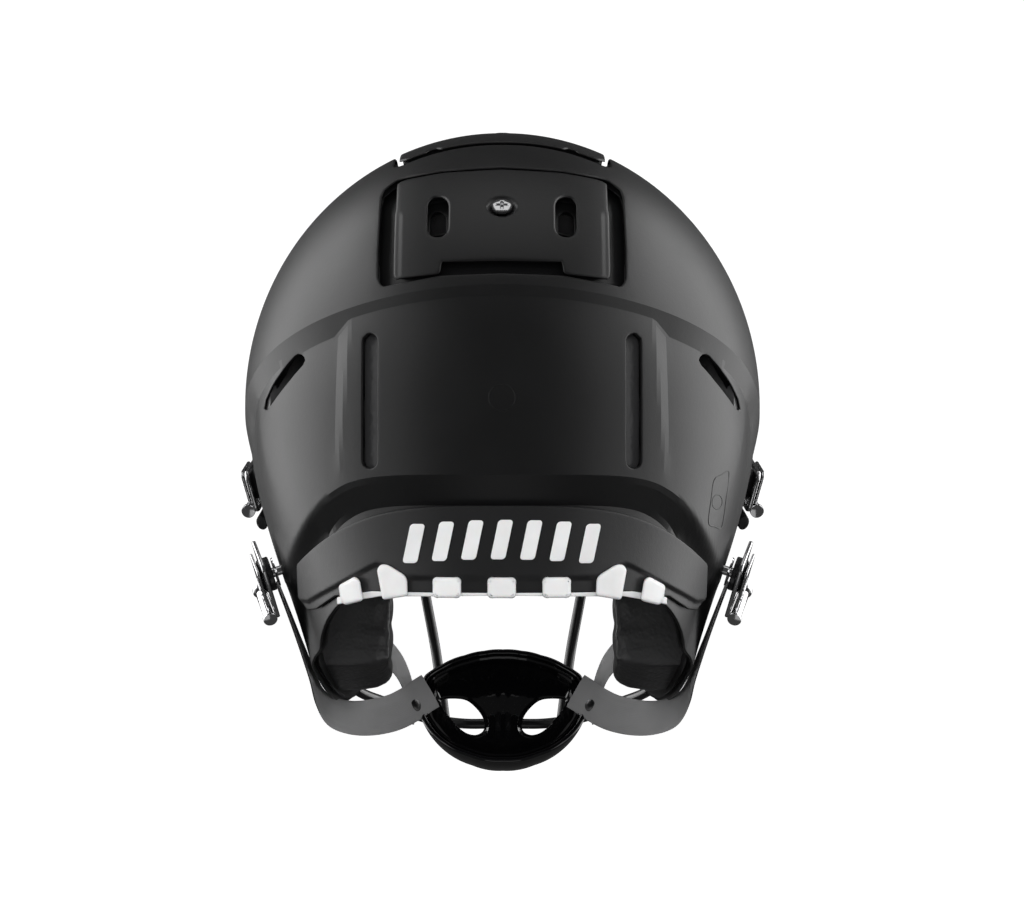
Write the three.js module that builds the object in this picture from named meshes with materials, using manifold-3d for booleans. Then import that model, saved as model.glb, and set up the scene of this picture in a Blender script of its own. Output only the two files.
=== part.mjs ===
// A matte black American football helmet: a hard shell with two floating crown plates, a liner, a wire
// face mask that swings up on its top clips, and a hard chin cup on four buckled straps.
// Millimetres, +Z up. The wearer faces -Y and the wearer's left is +X. The origin is the centre of the
// cranial part of the shell, midway between the ears, where the middle of the wearer's head sits.
import * as THREE from "three";
import Module from "manifold-3d";
import { mergeVertices } from "three/addons/utils/BufferGeometryUtils.js";

const wasm = await Module();
wasm.setup();

// ---- Driving dimensions ----
const SHELL = { halfWidth: 125.7, halfLength: 150, crown: 133, floor: 170, wall: 4 };
const SECTION_POWER = 2.12; // how square the level sections are; 2 would be an ellipse
const GRID = { around: 28, down: 18 }; // facets of the shell's surface
const GAP = 0.4; // between pieces that touch
const WIRE = 2.75; // face mask wire radius, with its coating
const CURVED_VENT = [[113.6, -5.2], [109.5, 2.5], [104, 10.5], [99, 16.3], [95.2, 20.5]]; // its middle line, as [x, z]
const HINGE = { y: -135, z: 60, halfSpan: 45 }; // the face mask's swing axis, along X, through the top clips
const STRAP = { width: 19, thickness: 1.8 };
const CUP = { centre: [0, -112, -152], tilt: 34, halfWidth: 44, halfHeight: 36, depth: 36, wall: 2.6, liner: 2 };
const POCKET = { margin: 6, depth: 5, wall: 4 }; // the sunk pan under each crown plate
const PLATE = { proud: 1.4, under: 1.8 };
const SIDES = [["left", 1], ["right", -1]];
// Where the chin strap studs stand on the shell, and which way their straps leave them.
const STUDS = {
  high: { y: -46, z: -36, up: [0, 0.34, 0.94], ring: { middle: -1.5, halfLength: 11 } },
  low: { y: 26, z: -80, up: [0, 0.55, 0.83], ring: { middle: -2.5, halfLength: 16.5 } },
};
const SIDE_CLIP = { y: -88, z: -48 };
const NAME_PLATE = { y: -148.5, halfX: 28, z: 46.6, halfZ: 5.5 };

const material = (color, roughness, metalness = 0) =>
  new THREE.MeshStandardMaterial({ color, roughness, metalness });
const SHELL_PLASTIC = material(0x1b1b1c, 0.5);
const GLOSS = material(0x060607, 0.08);
const RUBBER = material(0x141415, 0.6);
const WHITE = material(0xf2f2f2, 0.45);
const PADDING = material(0x1d1d1f, 0.7);
const COATED = material(0x0c0c0d, 0.35);
const CHROME = material(0xd8d8d8, 0.12, 1);
const WEBBING = material(0x3a3a3c, 0.6);

const helmet = new THREE.Group();

// ---- Solids ----
// A closed three.js geometry as a manifold-3d solid.
function solid(geometry) {
  const bare = new THREE.BufferGeometry().setAttribute("position", geometry.getAttribute("position"));
  if (geometry.index) bare.setIndex(geometry.index);
  const merged = mergeVertices(bare, 1e-3);
  return new wasm.Manifold(
    new wasm.Mesh({
      numProp: 3,
      vertProperties: merged.attributes.position.array,
      triVerts: new Uint32Array(merged.index.array),
    }),
  );
}

// A manifold-3d solid as a three.js geometry.
function geometryOf(made) {
  const mesh = made.simplify(0.08).getMesh();
  const geometry = new THREE.BufferGeometry();
  geometry.setAttribute("position", new THREE.BufferAttribute(new Float32Array(mesh.vertProperties), 3));
  geometry.setIndex(new THREE.BufferAttribute(new Uint32Array(mesh.triVerts), 1));
  geometry.computeVertexNormals();
  return geometry;
}

function add(name, shape, look) {
  const mesh = new THREE.Mesh(geometryOf(shape), look);
  mesh.name = name;
  helmet.add(mesh);
}

// Moves each vertex of a geometry through a function of its own x, y and z.
function mapped(geometry, move) {
  const position = geometry.getAttribute("position");
  for (let i = 0; i < position.count; i++) {
    position.setXYZ(i, ...move(position.getX(i), position.getY(i), position.getZ(i)));
  }
  return geometry;
}

// A frame at a point: its third axis is `out`, and its second is as near to `up` as it can be.
function frameAt(at, out, up) {
  const w = new THREE.Vector3(...out).normalize();
  const u = new THREE.Vector3(...up).cross(w).normalize();
  const v = new THREE.Vector3().crossVectors(w, u);
  return new THREE.Matrix4().makeBasis(u, v, w).setPosition(...at);
}

const ALONG_X = frameAt([0, 0, 0], [1, 0, 0], [0, 0, 1]); // a shape's x is the helmet's y, its y the helmet's z
const FROM_BACK = frameAt([0, 0, 0], [0, 1, 0], [0, 0, 1]); // a shape's x is the helmet's -x, its y the helmet's z

// A 2-D shape made solid between two heights along its frame's third axis.
function prism(shape, from, to, frame, curveSegments = 1) {
  const geometry = new THREE.ExtrudeGeometry(shape, { depth: to - from, bevelEnabled: false, curveSegments });
  return solid(geometry.translate(0, 0, from).applyMatrix4(frame));
}

const polygon = (points) => new THREE.Shape(points.map(([x, y]) => new THREE.Vector2(x, y)));

const rectangle = (halfX, halfY, x = 0, y = 0) =>
  polygon([[x - halfX, y - halfY], [x + halfX, y - halfY], [x + halfX, y + halfY], [x - halfX, y + halfY]]);

function roundedRectangle(halfX, halfY, radius, x = 0, y = 0) {
  const shape = new THREE.Shape();
  shape.absarc(x + halfX - radius, y + halfY - radius, radius, 0, Math.PI / 2);
  shape.absarc(x + radius - halfX, y + halfY - radius, radius, Math.PI / 2, Math.PI);
  shape.absarc(x + radius - halfX, y + radius - halfY, radius, Math.PI, 1.5 * Math.PI);
  shape.absarc(x + halfX - radius, y + radius - halfY, radius, 1.5 * Math.PI, 2 * Math.PI);
  return shape;
}

// A turned solid: its profile is a list of [radius, height] that starts and ends on the axis.
function turned(profile, frame, segments = 12) {
  const points = profile.map(([r, h]) => new THREE.Vector2(r, h));
  const geometry = new THREE.LatheGeometry(points, segments).rotateX(Math.PI / 2);
  return solid(geometry.applyMatrix4(frame));
}

const cylinder = (radius, from, to, frame, segments = 10) =>
  turned([[0, from], [radius, from], [radius, to], [0, to]], frame, segments);

// A round bar along a smooth curve through its points.
function rod(points, radius, steps) {
  const section = new THREE.Shape().absarc(0, 0, radius, 0, 2 * Math.PI);
  const extrudePath = new THREE.CatmullRomCurve3(points.map((p) => new THREE.Vector3(...p)));
  return solid(new THREE.ExtrudeGeometry(section, { extrudePath, steps, curveSegments: 3 }));
}

// A flat strap: each stop of its path is a point with the direction its face looks there.
function ribbon(stops, width, thickness, steps) {
  const path = new THREE.CatmullRomCurve3(stops.map((s) => new THREE.Vector3(...s.at)));
  const faces = new THREE.CatmullRomCurve3(stops.map((s) => new THREE.Vector3(...s.out)));
  const box = new THREE.BoxGeometry(1, 1, 1, steps, 1, 1);
  return solid(
    mapped(box, (x, y, z) => {
      const along = path.getTangent(x + 0.5);
      const across = new THREE.Vector3().crossVectors(faces.getPoint(x + 0.5), along).normalize();
      const out = new THREE.Vector3().crossVectors(along, across);
      const point = path.getPoint(x + 0.5).addScaledVector(across, y * width);
      return point.addScaledVector(out, z * thickness).toArray();
    }),
  );
}

function smooth(t) {
  const c = Math.min(1, Math.max(0, t));
  return c * c * (3 - 2 * c);
}

const sided = ([x, y, z], side) => [x * side, y, z];

// ---- The shell's surface ----
const RIDGE = { height: 54, fall: 80, sunk: 2.8 };
const NECK_LINE = { height: -33, fall: 45, halfWidth: 105, sunk: 6 };

// Half the width of the level section at a height, at its widest.
const halfWidthAt = (z) => SHELL.halfWidth - 36 * smooth((-z - 7) / 160);

// How far the surface is sunk below the plain dome: the panel under the ridge, and the tuck at the neck.
function relief(x, y, z, turn) {
  const quarter = (Math.abs(turn) * 180) / Math.PI / 100;
  const ridge = RIDGE.height - RIDGE.fall * quarter ** 2;
  const band = 6 + 8 * smooth(quarter / 0.6);
  const panel = RIDGE.sunk * smooth((ridge - z) / band) * (1 - smooth((quarter - 0.95) / 0.35));
  const neckLine = NECK_LINE.height - NECK_LINE.fall * Math.min(1.3, Math.abs(x) / NECK_LINE.halfWidth) ** 6;
  return panel + (y > 0 ? NECK_LINE.sunk * smooth((neckLine - z) / 14) * smooth(y / 40) : 0);
}

// The point of the surface `inset` below the shell's outside, for a direction out of the origin.
function shellPoint(dx, dy, dz, inset) {
  const drop = Math.acos(Math.min(1, Math.max(-1, dz)));
  const turn = Math.atan2(dx, dy);
  const [sx, sy] = [Math.sin(turn), Math.cos(turn)];
  const round = (Math.abs(sx) ** SECTION_POWER + Math.abs(sy) ** SECTION_POWER) ** (-1 / SECTION_POWER);
  const below = Math.max(0, drop / (Math.PI / 2) - 1);
  const height = below > 0 ? -SHELL.floor * below : SHELL.crown * Math.cos(drop);
  const ring = round * (below > 0 ? (below < 1 ? 1 : 0) : Math.sin(drop));
  const half = halfWidthAt(height);
  const sunk = inset + relief(half * ring * sx, SHELL.halfLength * ring * sy, height, turn);
  const z = below > 0 ? height : (SHELL.crown - sunk) * Math.cos(drop);
  return [(half - sunk) * ring * sx, (SHELL.halfLength - sunk) * ring * sy, z];
}

// The solid inside the surface at an inset, on the same facets each time, so that layers stay clear of each other.
const domes = new Map();
function dome(inset) {
  if (!domes.has(inset)) {
    const sphere = new THREE.SphereGeometry(1, GRID.around, GRID.down).rotateX(Math.PI / 2);
    domes.set(inset, solid(mapped(sphere, (x, y, z) => shellPoint(x, y, z, inset))));
  }
  return domes.get(inset);
}

// What lies between two insets, inside a tool solid.
const layer = (outer, inner, tool) => dome(outer).intersect(tool).subtract(dome(inner));

// A point of the plain surface with its outward direction, from its height and either its x or its y.
function onShell({ x, y, z, front = false }) {
  const taper = (height) => (height > 0 ? Math.sqrt(1 - (height / SHELL.crown) ** 2) : 1);
  const across = (height) => halfWidthAt(height) * taper(height);
  const along = (height) => SHELL.halfLength * taper(height);
  const [a, b] = [across(z), along(z)];
  const power = (v) => Math.abs(v) ** SECTION_POWER;
  const px = x ?? a * (1 - power(y / b)) ** (1 / SECTION_POWER);
  const py = y ?? b * (1 - power(x / a)) ** (1 / SECTION_POWER) * (front ? -1 : 1);
  const rise = (size, share) => (power(share) * (size(z - 0.5) - size(z + 0.5))) / size(z);
  const out = new THREE.Vector3(power(px / a) / px, power(py / b) / py, rise(across, px / a) + rise(along, py / b));
  return { at: [px, py, z], out: out.normalize().toArray() };
}

// ---- Shell and crown plates ----
// What the shell keeps, seen from its left side: crown, brow, jaw flap and neck edge.
function sideOutline() {
  const shape = new THREE.Shape();
  shape.moveTo(-170, 40);
  shape.lineTo(-118, 40);
  shape.bezierCurveTo(-100, 38, -90, 22, -90, 2);
  shape.bezierCurveTo(-90, -20, -98, -38, -103, -58);
  shape.bezierCurveTo(-109, -80, -112, -104, -104, -126);
  shape.bezierCurveTo(-99, -142, -88, -149, -72, -149);
  shape.bezierCurveTo(-48, -149, -20, -136, 20, -122);
  shape.bezierCurveTo(60, -112, 96, -90, 122, -84);
  shape.lineTo(170, -83);
  shape.lineTo(170, 150);
  shape.lineTo(-170, 150);
  shape.closePath();
  return shape;
}

const PLATES = {
  rear: {
    frame: frameAt([0, 111, 89], [0, 0.7, 0.714], [0, -0.714, 0.7]),
    halfX: 50,
    halfY: 36,
    screw: frameAt([0, 109.3, 91], [0, 0.68, 0.733], [0, -0.733, 0.68]),
  },
  front: {
    frame: frameAt([0, -4, 132], [0, 0, 1], [0, -1, 0]),
    halfX: 47,
    halfY: 54,
    screw: frameAt([0, -4, 133], [0, 0, 1], [0, -1, 0]),
  },
};
const PLATE_VENT = { x: 30, halfX: 5.5, halfY: 13 };
const SCREW_SEAT = 7.5;

const plateTool = (plate, grow) =>
  prism(roundedRectangle(plate.halfX + grow, plate.halfY + grow, 7), -40, 30, plate.frame);

function plateHoles(plate, grow) {
  const vents = SIDES.map(([, side]) =>
    prism(roundedRectangle(PLATE_VENT.halfX + grow, PLATE_VENT.halfY + grow, 4, side * PLATE_VENT.x), -40, 30, plate.frame),
  );
  return vents[0].add(vents[1]);
}

const studFrame = (spot, side) => {
  const { at, out } = onShell({ y: spot.y, z: spot.z });
  return frameAt(sided(at, side), sided(out, side), spot.up);
};

function outerShell() {
  const keep = prism(sideOutline(), -150, 150, ALONG_X, 3);
  let shell = layer(0, SHELL.wall, keep);
  for (const plate of Object.values(PLATES)) {
    const around = plateTool(plate, POCKET.margin + POCKET.wall);
    shell = shell.add(layer(0, POCKET.depth + POCKET.wall, around));
    shell = shell.subtract(plateTool(plate, POCKET.margin).subtract(dome(POCKET.depth)));
    shell = shell.subtract(plateHoles(plate, -1.5));
    shell = shell.subtract(cylinder(2.4, -30, 10, plate.screw, 8));
  }
  for (const [, side] of SIDES) {
    const upright = frameAt([side * 60.6, 140, 0.8], [0, 1, 0], [0, 0, 1]);
    shell = shell.subtract(prism(roundedRectangle(3.3, 31, 3), -60, 40, upright));
    // A curved vent that follows the ridge.
    const outer = CURVED_VENT.map(([x, z]) => [-side * (x + 1.6), z + 1.8]);
    const inner = CURVED_VENT.map(([x, z]) => [-side * (x - 1.6), z - 1.8]).reverse();
    const vent = polygon([...outer, ...inner]);
    shell = shell.subtract(prism(vent, 40, 160, FROM_BACK));
    const ear = frameAt([side * 118, -14, -58], [side, 0, 0], [0, 0, 1]);
    shell = shell.subtract(prism(roundedRectangle(14, 20, 11), -40, 40, ear));
    for (const spot of Object.values(STUDS)) {
      shell = shell.subtract(cylinder(2.8, -12, 8, studFrame(spot, side), 8));
    }
  }
  return shell;
}

function crownPlate(plate) {
  const tile = layer(-PLATE.proud, PLATE.under, plateTool(plate, 0)).subtract(plateHoles(plate, 0));
  return tile.subtract(cylinder(SCREW_SEAT, -40, 30, plate.screw));
}

// The soft frame that carries a crown plate off the floor of its pocket.
function plateCushion(plate) {
  const ring = plateTool(plate, -3).subtract(plateTool(plate, -9));
  return layer(PLATE.under + GAP, POCKET.depth - GAP, ring);
}

// A button-head screw in the plate's seat, through the floor of the pocket.
function plateScrew(plate) {
  return turned([[0, -9], [1.9, -9], [1.9, -4.4], [6, -4.4], [6, -1.2], [4.6, 0.4], [0, 0.8]], plate.screw);
}

add("outer_shell", outerShell(), SHELL_PLASTIC);
for (const [name, plate] of Object.entries(PLATES)) {
  add(`crown_plate_${name}`, crownPlate(plate), SHELL_PLASTIC);
  add(`plate_cushion_${name}`, plateCushion(plate), RUBBER);
  add(`plate_screw_${name}`, plateScrew(plate), CHROME);
}

// ---- Bumpers and neck pad ----
const NECK_EDGE = -85; // the rear bumper's lower edge
const BLOCKS = [0, 25, 50.5, 69.5]; // how far from the middle the neck pad's white blocks stand
const BLOCK = { halfWidth: 6.4, top: [-80, -80, -75, -80.5], bottom: [-89.5, -89.5, -90.5, -93] };

function bumperTop(x) {
  return -47 - 37 * (Math.abs(x) / 105) ** 3.5;
}

function blockTool(grow) {
  let tool = null;
  BLOCKS.forEach((offset, i) => {
    for (const x of offset ? [-offset, offset] : [0]) {
      const halfHeight = (BLOCK.top[i] - BLOCK.bottom[i]) / 2 + grow;
      const middle = (BLOCK.top[i] + BLOCK.bottom[i]) / 2;
      const shape = roundedRectangle(BLOCK.halfWidth + grow, halfHeight, 2, x, middle);
      const block = prism(shape, 60, 170, FROM_BACK);
      tool = tool ? tool.add(block) : block;
    }
  });
  return tool;
}

function rearBumper() {
  const xs = Array.from({ length: 13 }, (_, i) => -90 + 15 * i);
  const outline = [...xs.map((x) => [x, bumperTop(x)]), [90, -92], [78, -88], [60, NECK_EDGE]];
  outline.push([-60, NECK_EDGE], [-78, -88], [-90, -92]);
  const tool = prism(polygon(outline.reverse()), 20, 170, FROM_BACK);
  return layer(-4, -GAP, tool).subtract(blockTool(0.8));
}

function neckPad() {
  const rail = polygon([[95, -95.6], [108, -91.4], [122, -86.8], [170, -84.8], [170, -88.8], [122, -90.6], [108, -95.2], [95, -99.5]]);
  const strip = layer(-3, 12, prism(rail, -78, 78, ALONG_X));
  return strip.add(layer(-5.6, -GAP, blockTool(0)));
}

// The brow bumper has a flat in the middle for a name plate.
function frontBumper() {
  const { y, halfX, z, halfZ } = NAME_PLATE;
  const tool = prism(roundedRectangle(64, 5.9, 3, 0, z), -170, -60, FROM_BACK);
  const flat = prism(roundedRectangle(halfX, halfZ, 1.5, 0, z), y, -125, FROM_BACK);
  return layer(-4, -GAP, tool).add(flat.subtract(dome(-GAP)));
}

add("rear_bumper", rearBumper(), RUBBER);
add("neck_pad", neckPad(), WHITE);
add("front_bumper", frontBumper(), RUBBER);

// ---- Liner ----
const PAD = { outer: SHELL.wall + POCKET.wall + POCKET.depth - 3.4, inner: 27 };
const LINER_OUT = SHELL.wall + GAP;

// Room round each stud's washer, so that no pad touches it.
function studRoom() {
  let room = null;
  for (const [, side] of SIDES) {
    for (const spot of Object.values(STUDS)) {
      const hole = cylinder(8, -20, 4, studFrame(spot, side), 6);
      room = room ? room.add(hole) : hole;
    }
  }
  return room;
}

// The outlines of the pads at the wearer's temple and jaw, as [y, z] round each.
const TEMPLE = [[34, -30], [66, -14], [66, 40], [30, 66], [-30, 66], [-60, 40], [-66, -8], [-20, -30]];
const JAW = [[-96, -96], [-92, -130], [-76, -142], [-52, -142], [-28, -128], [-30, -88], [-40, -66], [-84, -60]];

const sidePad = (outline, inner, from, side) =>
  layer(LINER_OUT, inner, prism(polygon(outline), side > 0 ? from : -140, side > 0 ? 140 : -from, ALONG_X));
const backTool = (halfX, halfZ, z) => prism(roundedRectangle(halfX, halfZ, 10, 0, z), 60, 170, FROM_BACK);

const crownTool = prism(roundedRectangle(46, 70, 20, 0, 12), 60, 140, new THREE.Matrix4());
const browTool = prism(roundedRectangle(66, 13, 8, 0, 54), -170, -50, FROM_BACK);
add("crown_liner", layer(PAD.outer, PAD.inner, crownTool), PADDING);
add("front_liner", layer(LINER_OUT, 24, browTool), PADDING);
add("back_liner", layer(LINER_OUT, 30, backTool(74, 30.5, -0.5)), PADDING);
add("neck_liner", layer(LINER_OUT, 27, backTool(52, 20, -54)), PADDING);
for (const [name, side] of SIDES) {
  add(`side_liner_${name}`, sidePad(TEMPLE, 26, 30, side), PADDING);
  add(`jaw_pad_${name}`, sidePad(JAW, 60, 56, side).subtract(studRoom()), PADDING);
}

// ---- Face mask ----
// A cross bar: level in the middle and sweeping back at its ends.
function crossBar({ front, back, reach, z, fall }) {
  const points = [];
  for (let i = -10; i <= 10; i++) {
    const share = i / 10;
    const x = reach * share;
    points.push([x, front + back * Math.abs(share) ** 3, z + fall * share ** 2]);
  }
  return rod(points, WIRE, 20);
}

const BARS = {
  nose: { front: -186, back: 84, reach: 101, z: -30, fall: 6 },
  mouth: { front: -192, back: 80, reach: 97, z: -66, fall: 0 },
  lip: { front: -195, back: 80, reach: 94, z: -94, fall: -2 },
};

// The y of a bar that crosses behind a cross bar at an x.
function behind(bar, x) {
  const slope = (3 * bar.back * x * x) / bar.reach ** 3;
  return bar.front + bar.back * (x / bar.reach) ** 3 + (2 * WIRE + 2 * GAP) * Math.hypot(1, slope);
}

// The stretches of wire that the side clips hold.
const CLIPPED = {
  upper: [[107.8, -95, -12], [104.2, -97.4, -32], [99.8, -98.3, -48]],
  lower: [[94, -110, -98], [97, -102.5, -76], [98.8, -99, -55]],
};

// The top wire, straight where the clips hold it, then down each side of the face opening.
function browBar() {
  const half = [
    [0, -140, 60], [18, -139.4, 60], [31, -136, 60], [37, HINGE.y, HINGE.z], [53, HINGE.y, HINGE.z],
    [62, -132, 58.5], [78, -121, 55], [94, -104, 47], [105, -91, 32], [110, -90.5, 10], ...CLIPPED.upper,
  ];
  return rod([...half.slice(1).reverse().map((p) => sided(p, -1)), ...half], WIRE, 38);
}

function chinBar() {
  const half = [
    [0, -197, -168], [22, -195.5, -168], [43, -186, -164], [61, -167, -155.5], [79, -138, -145],
    [90, -120, -124], ...CLIPPED.lower,
  ];
  return rod([...half.slice(1).reverse().map((p) => sided(p, -1)), ...half], WIRE, 28);
}

add("mask_brow_bar", browBar(), COATED);
add("mask_chin_bar", chinBar(), COATED);
for (const [name, bar] of Object.entries(BARS)) add(`mask_${name}_bar`, crossBar(bar), COATED);
for (const [name, side] of SIDES) {
  const centre = [[52, -26, BARS.nose], [46.5, -62, BARS.mouth], [42.3, -94, BARS.lip]];
  const flank = [[86, -22, BARS.nose], [83, -62, BARS.mouth], [78, -99, BARS.lip]];
  const [inner, outer] = [centre, flank].map((stops) => stops.map(([x, z, bar]) => [x, behind(bar, x), z]));
  inner.push([36, -188.5, -130], [30.6, -186, -170]);
  add(`mask_centre_bar_${name}`, rod(inner.map((p) => sided(p, side)), WIRE, 12), COATED);
  add(`mask_flank_bar_${name}`, rod(outer.map((p) => sided(p, side)), WIRE, 8), COATED);
}

// ---- Mask clips ----
function topClip(side) {
  const x = side * HINGE.halfSpan;
  const strip = prism(roundedRectangle(6, 15, 4, -x, 72), -170, -60, FROM_BACK);
  const axis = frameAt([x, HINGE.y, HINGE.z], [1, 0, 0], [0, 0, 1]);
  const loop = cylinder(7, -6, 6, axis, 12).subtract(dome(-GAP));
  const clip = layer(-5, -GAP, strip).add(loop).subtract(cylinder(WIRE + GAP, -8, 8, axis, 12));
  return clip.subtract(cylinder(2.7, -12, 20, clipScrewFrame(side), 8));
}

const clipScrewFrame = (side) => {
  const { at, out } = onShell({ x: side * HINGE.halfSpan, z: 79, front: true });
  return frameAt(at, out, [0, 0, 1]);
};

const clipFrame = (side) => {
  const { at, out } = onShell(SIDE_CLIP);
  return frameAt(sided(at, side), sided(out, side), [0, 0, 1]);
};

// A rubber block that holds the ends of the top wire and the chin wire, with a seat for its screw.
function sideClip(side) {
  let block = prism(roundedRectangle(14, 15, 5, -2 * side, 0), -6, 10.5, clipFrame(side)).subtract(dome(-GAP));
  const [upper, lower] = [CLIPPED.upper, CLIPPED.lower].map((points) => points.map((p) => sided(p, side)));
  const past = [upper[2][0], upper[2][1], upper[2][2] - 4];
  for (const points of [[...upper, past], lower]) block = block.subtract(rod(points, WIRE + GAP, 8));
  return block.subtract(cylinder(6.4, 7, 14, clipFrame(side)));
}

const CLIP_SCREW = [[0, 1], [2.1, 1], [2.1, 6.4], [4.4, 6.4], [4.4, 7.6], [3, 8.6], [0, 8.8]];
const RELEASE_SCREW = [[0, 7.4], [5.9, 7.4], [5.9, 10], [4.8, 11], [0, 11]];
for (const [name, side] of SIDES) {
  add(`mask_clip_top_${name}`, topClip(side), RUBBER);
  add(`mask_clip_screw_${name}`, turned(CLIP_SCREW, clipScrewFrame(side), 10), CHROME);
  add(`side_clip_${name}`, sideClip(side), RUBBER);
  add(`release_screw_${name}`, turned(RELEASE_SCREW, clipFrame(side), 10), CHROME);
}

// ---- Chin cup ----
const cupFrame = (() => {
  const tilt = THREE.MathUtils.degToRad(CUP.tilt);
  return frameAt(CUP.centre, [0, Math.cos(tilt), Math.sin(tilt)], [0, 0, 1]);
})();

// The bowl's solid at an inset: pointed at its two ends, and carried past its rim by `open`.
function bowl(inset, open) {
  const sphere = new THREE.SphereGeometry(1, 16, 10).rotateX(Math.PI / 2);
  const [w, h, d] = [CUP.halfWidth - inset, CUP.halfHeight - inset, CUP.depth - inset];
  const lens = (x, y, z) => [w * x, h * y * (1 - 0.22 * x * x), z < 0 ? d * z : open * z];
  return solid(mapped(sphere, lens).applyMatrix4(cupFrame));
}

// The two eye-shaped vents through the cup and its liner.
function cupVents(grow) {
  const [inner, outer] = SIDES.map(([, side]) => {
    const eye = roundedRectangle(11 + grow, 9.5 + grow, 8, side * 19, 11);
    return prism(eye, -60, 20, cupFrame);
  });
  return inner.add(outer);
}

const rivetFrame = (side) => frameAt([side * 43.6, -117.5, -155], [side * 0.97, -0.2, -0.14], [0, 0, 1]);

function rivetRoom(radius) {
  return SIDES.map(([, side]) => cylinder(radius, -9, 9, rivetFrame(side))).reduce((a, b) => a.add(b));
}

const cup = bowl(0, 0).subtract(bowl(CUP.wall, 30)).subtract(cupVents(0)).subtract(rivetRoom(2.4));
const cupLiner = bowl(CUP.wall + GAP, 0).subtract(bowl(CUP.wall + GAP + CUP.liner, 30)).subtract(cupVents(1));
add("chin_cup", cup, GLOSS);
add("cup_liner", cupLiner.subtract(rivetRoom(6)), PADDING);

// ---- Chin straps ----
const onSurface = (y, z, lift = 1.7) => {
  const { at, out } = onShell({ y, z });
  return { at: at.map((v, i) => v + lift * out[i]), out };
};

const STRAP_PATHS = {
  high: [
    onSurface(-49.5, -46), onSurface(-54, -60), onSurface(-61, -77), onSurface(-72, -95, 2.2), onSurface(-88, -109, 3.4),
    { at: [78, -109, -116.5], out: [0.8, -0.55, -0.2] }, { at: [66, -117, -122], out: [0.62, -0.75, -0.2] },
    { at: [56, -119, -131], out: [0.75, -0.6, -0.2] }, { at: [49.8, -118.9, -143], out: [0.95, -0.25, -0.14] },
    { at: [48.2, -118.4, -155.6], out: [0.97, -0.2, -0.14] }, { at: [48.8, -117.6, -163], out: [0.97, -0.2, -0.14] },
  ],
  low: [
    onSurface(20.5, -88.5), onSurface(16, -97), onSurface(8, -107), onSurface(-3, -118), onSurface(-16, -129),
    onSurface(-31, -140.5, 2.8), { at: [89, -46, -153], out: [0.86, -0.45, -0.3] }, { at: [80, -60, -159], out: [0.74, -0.65, -0.2] },
    { at: [69, -76, -159.5], out: [0.76, -0.65, -0.1] }, { at: [57, -92, -157.5], out: [0.84, -0.53, -0.1] },
    { at: [48.4, -107, -156], out: [0.95, -0.3, -0.12] }, { at: [45, -117.8, -155.2], out: [0.97, -0.2, -0.14] },
    { at: [43.2, -126.5, -154.6], out: [0.97, -0.2, -0.14] },
  ],
};

function strap(name, side) {
  const stops = STRAP_PATHS[name].map(({ at, out }) => ({ at: sided(at, side), out: sided(out, side) }));
  return ribbon(stops, STRAP.width, STRAP.thickness, 22).subtract(rivetRoom(2.4));
}

function rivet(side) {
  const profile = [[0, -6.4], [4.4, -6.4], [4.4, -5.2], [2, -5.2], [2, 6.8], [4.8, 6.8], [4.2, 8], [0, 8.6]];
  return turned(profile, rivetFrame(side));
}

// ---- Snaps, buckles and their cams ----
const STUD = [
  [0, -10.6], [5, -10.6], [5, -9.2], [2.3, -9.2], [2.3, 0.5], [7.2, 0.5], [6.8, 1.6], [2.4, 1.6], [2.4, 3.4], [3.5, 4.4],
  [3.5, 5.6], [2.4, 6.6], [0, 6.6],
];
const CAP = [[0, 7.6], [4.2, 7.6], [4.2, 2.8], [8.4, 2.8], [8.4, 7.6], [7, 9], [0, 9.2]];
const PIVOT_HEIGHT = 10.6;

// A frame across a buckle, along its cam's pin.
function pivotFrame(spot, side) {
  const { middle, halfLength } = spot.ring;
  const along = new THREE.Matrix4().makeRotationY(Math.PI / 2).setPosition(0, middle - halfLength + 2, PIVOT_HEIGHT);
  return studFrame(spot, side).multiply(along);
}

function buckle(spot, side) {
  const frame = studFrame(spot, side);
  const { middle, halfLength } = spot.ring;
  const outline = prism(roundedRectangle(13, halfLength, 4, 0, middle), 5.6, 7.6, frame);
  const window = prism(rectangle(10.4, halfLength - 2.6, 0, middle), 4, 9, frame);
  const bridge = prism(rectangle(11, 5, 0, 1), 5.6, 7, frame).subtract(cylinder(6, 0, 9, frame));
  const ring = outline.subtract(window).add(bridge).add(turned(CAP, frame, 10));
  const pivot = pivotFrame(spot, side);
  const ears = cylinder(3.6, 10.8, 13, pivot, 6).add(cylinder(3.6, -13, -10.8, pivot, 6));
  return ring.add(ears).subtract(cylinder(1.5, -14, 14, pivot, 6));
}

function camLever(spot, side) {
  const { middle, halfLength } = spot.ring;
  const low = middle - halfLength + 2;
  const flap = prism(roundedRectangle(9.6, (9 - low) / 2, 2.4, 0, (9 + low) / 2), 9.8, 11.2, studFrame(spot, side));
  const pivot = pivotFrame(spot, side);
  return flap.add(cylinder(2.6, -10, 10, pivot, 8)).add(cylinder(1.1, -12.6, 12.6, pivot, 6));
}

// The strap's end, rolled under the high buckle.
function rolledEnd(side) {
  const frame = studFrame(STUDS.high, side).multiply(new THREE.Matrix4().makeRotationY(Math.PI / 2));
  return prism(roundedRectangle(2.7, 3.6, 2.6, -6.6, -19), -9.5, 9.5, frame, 2);
}

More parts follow.
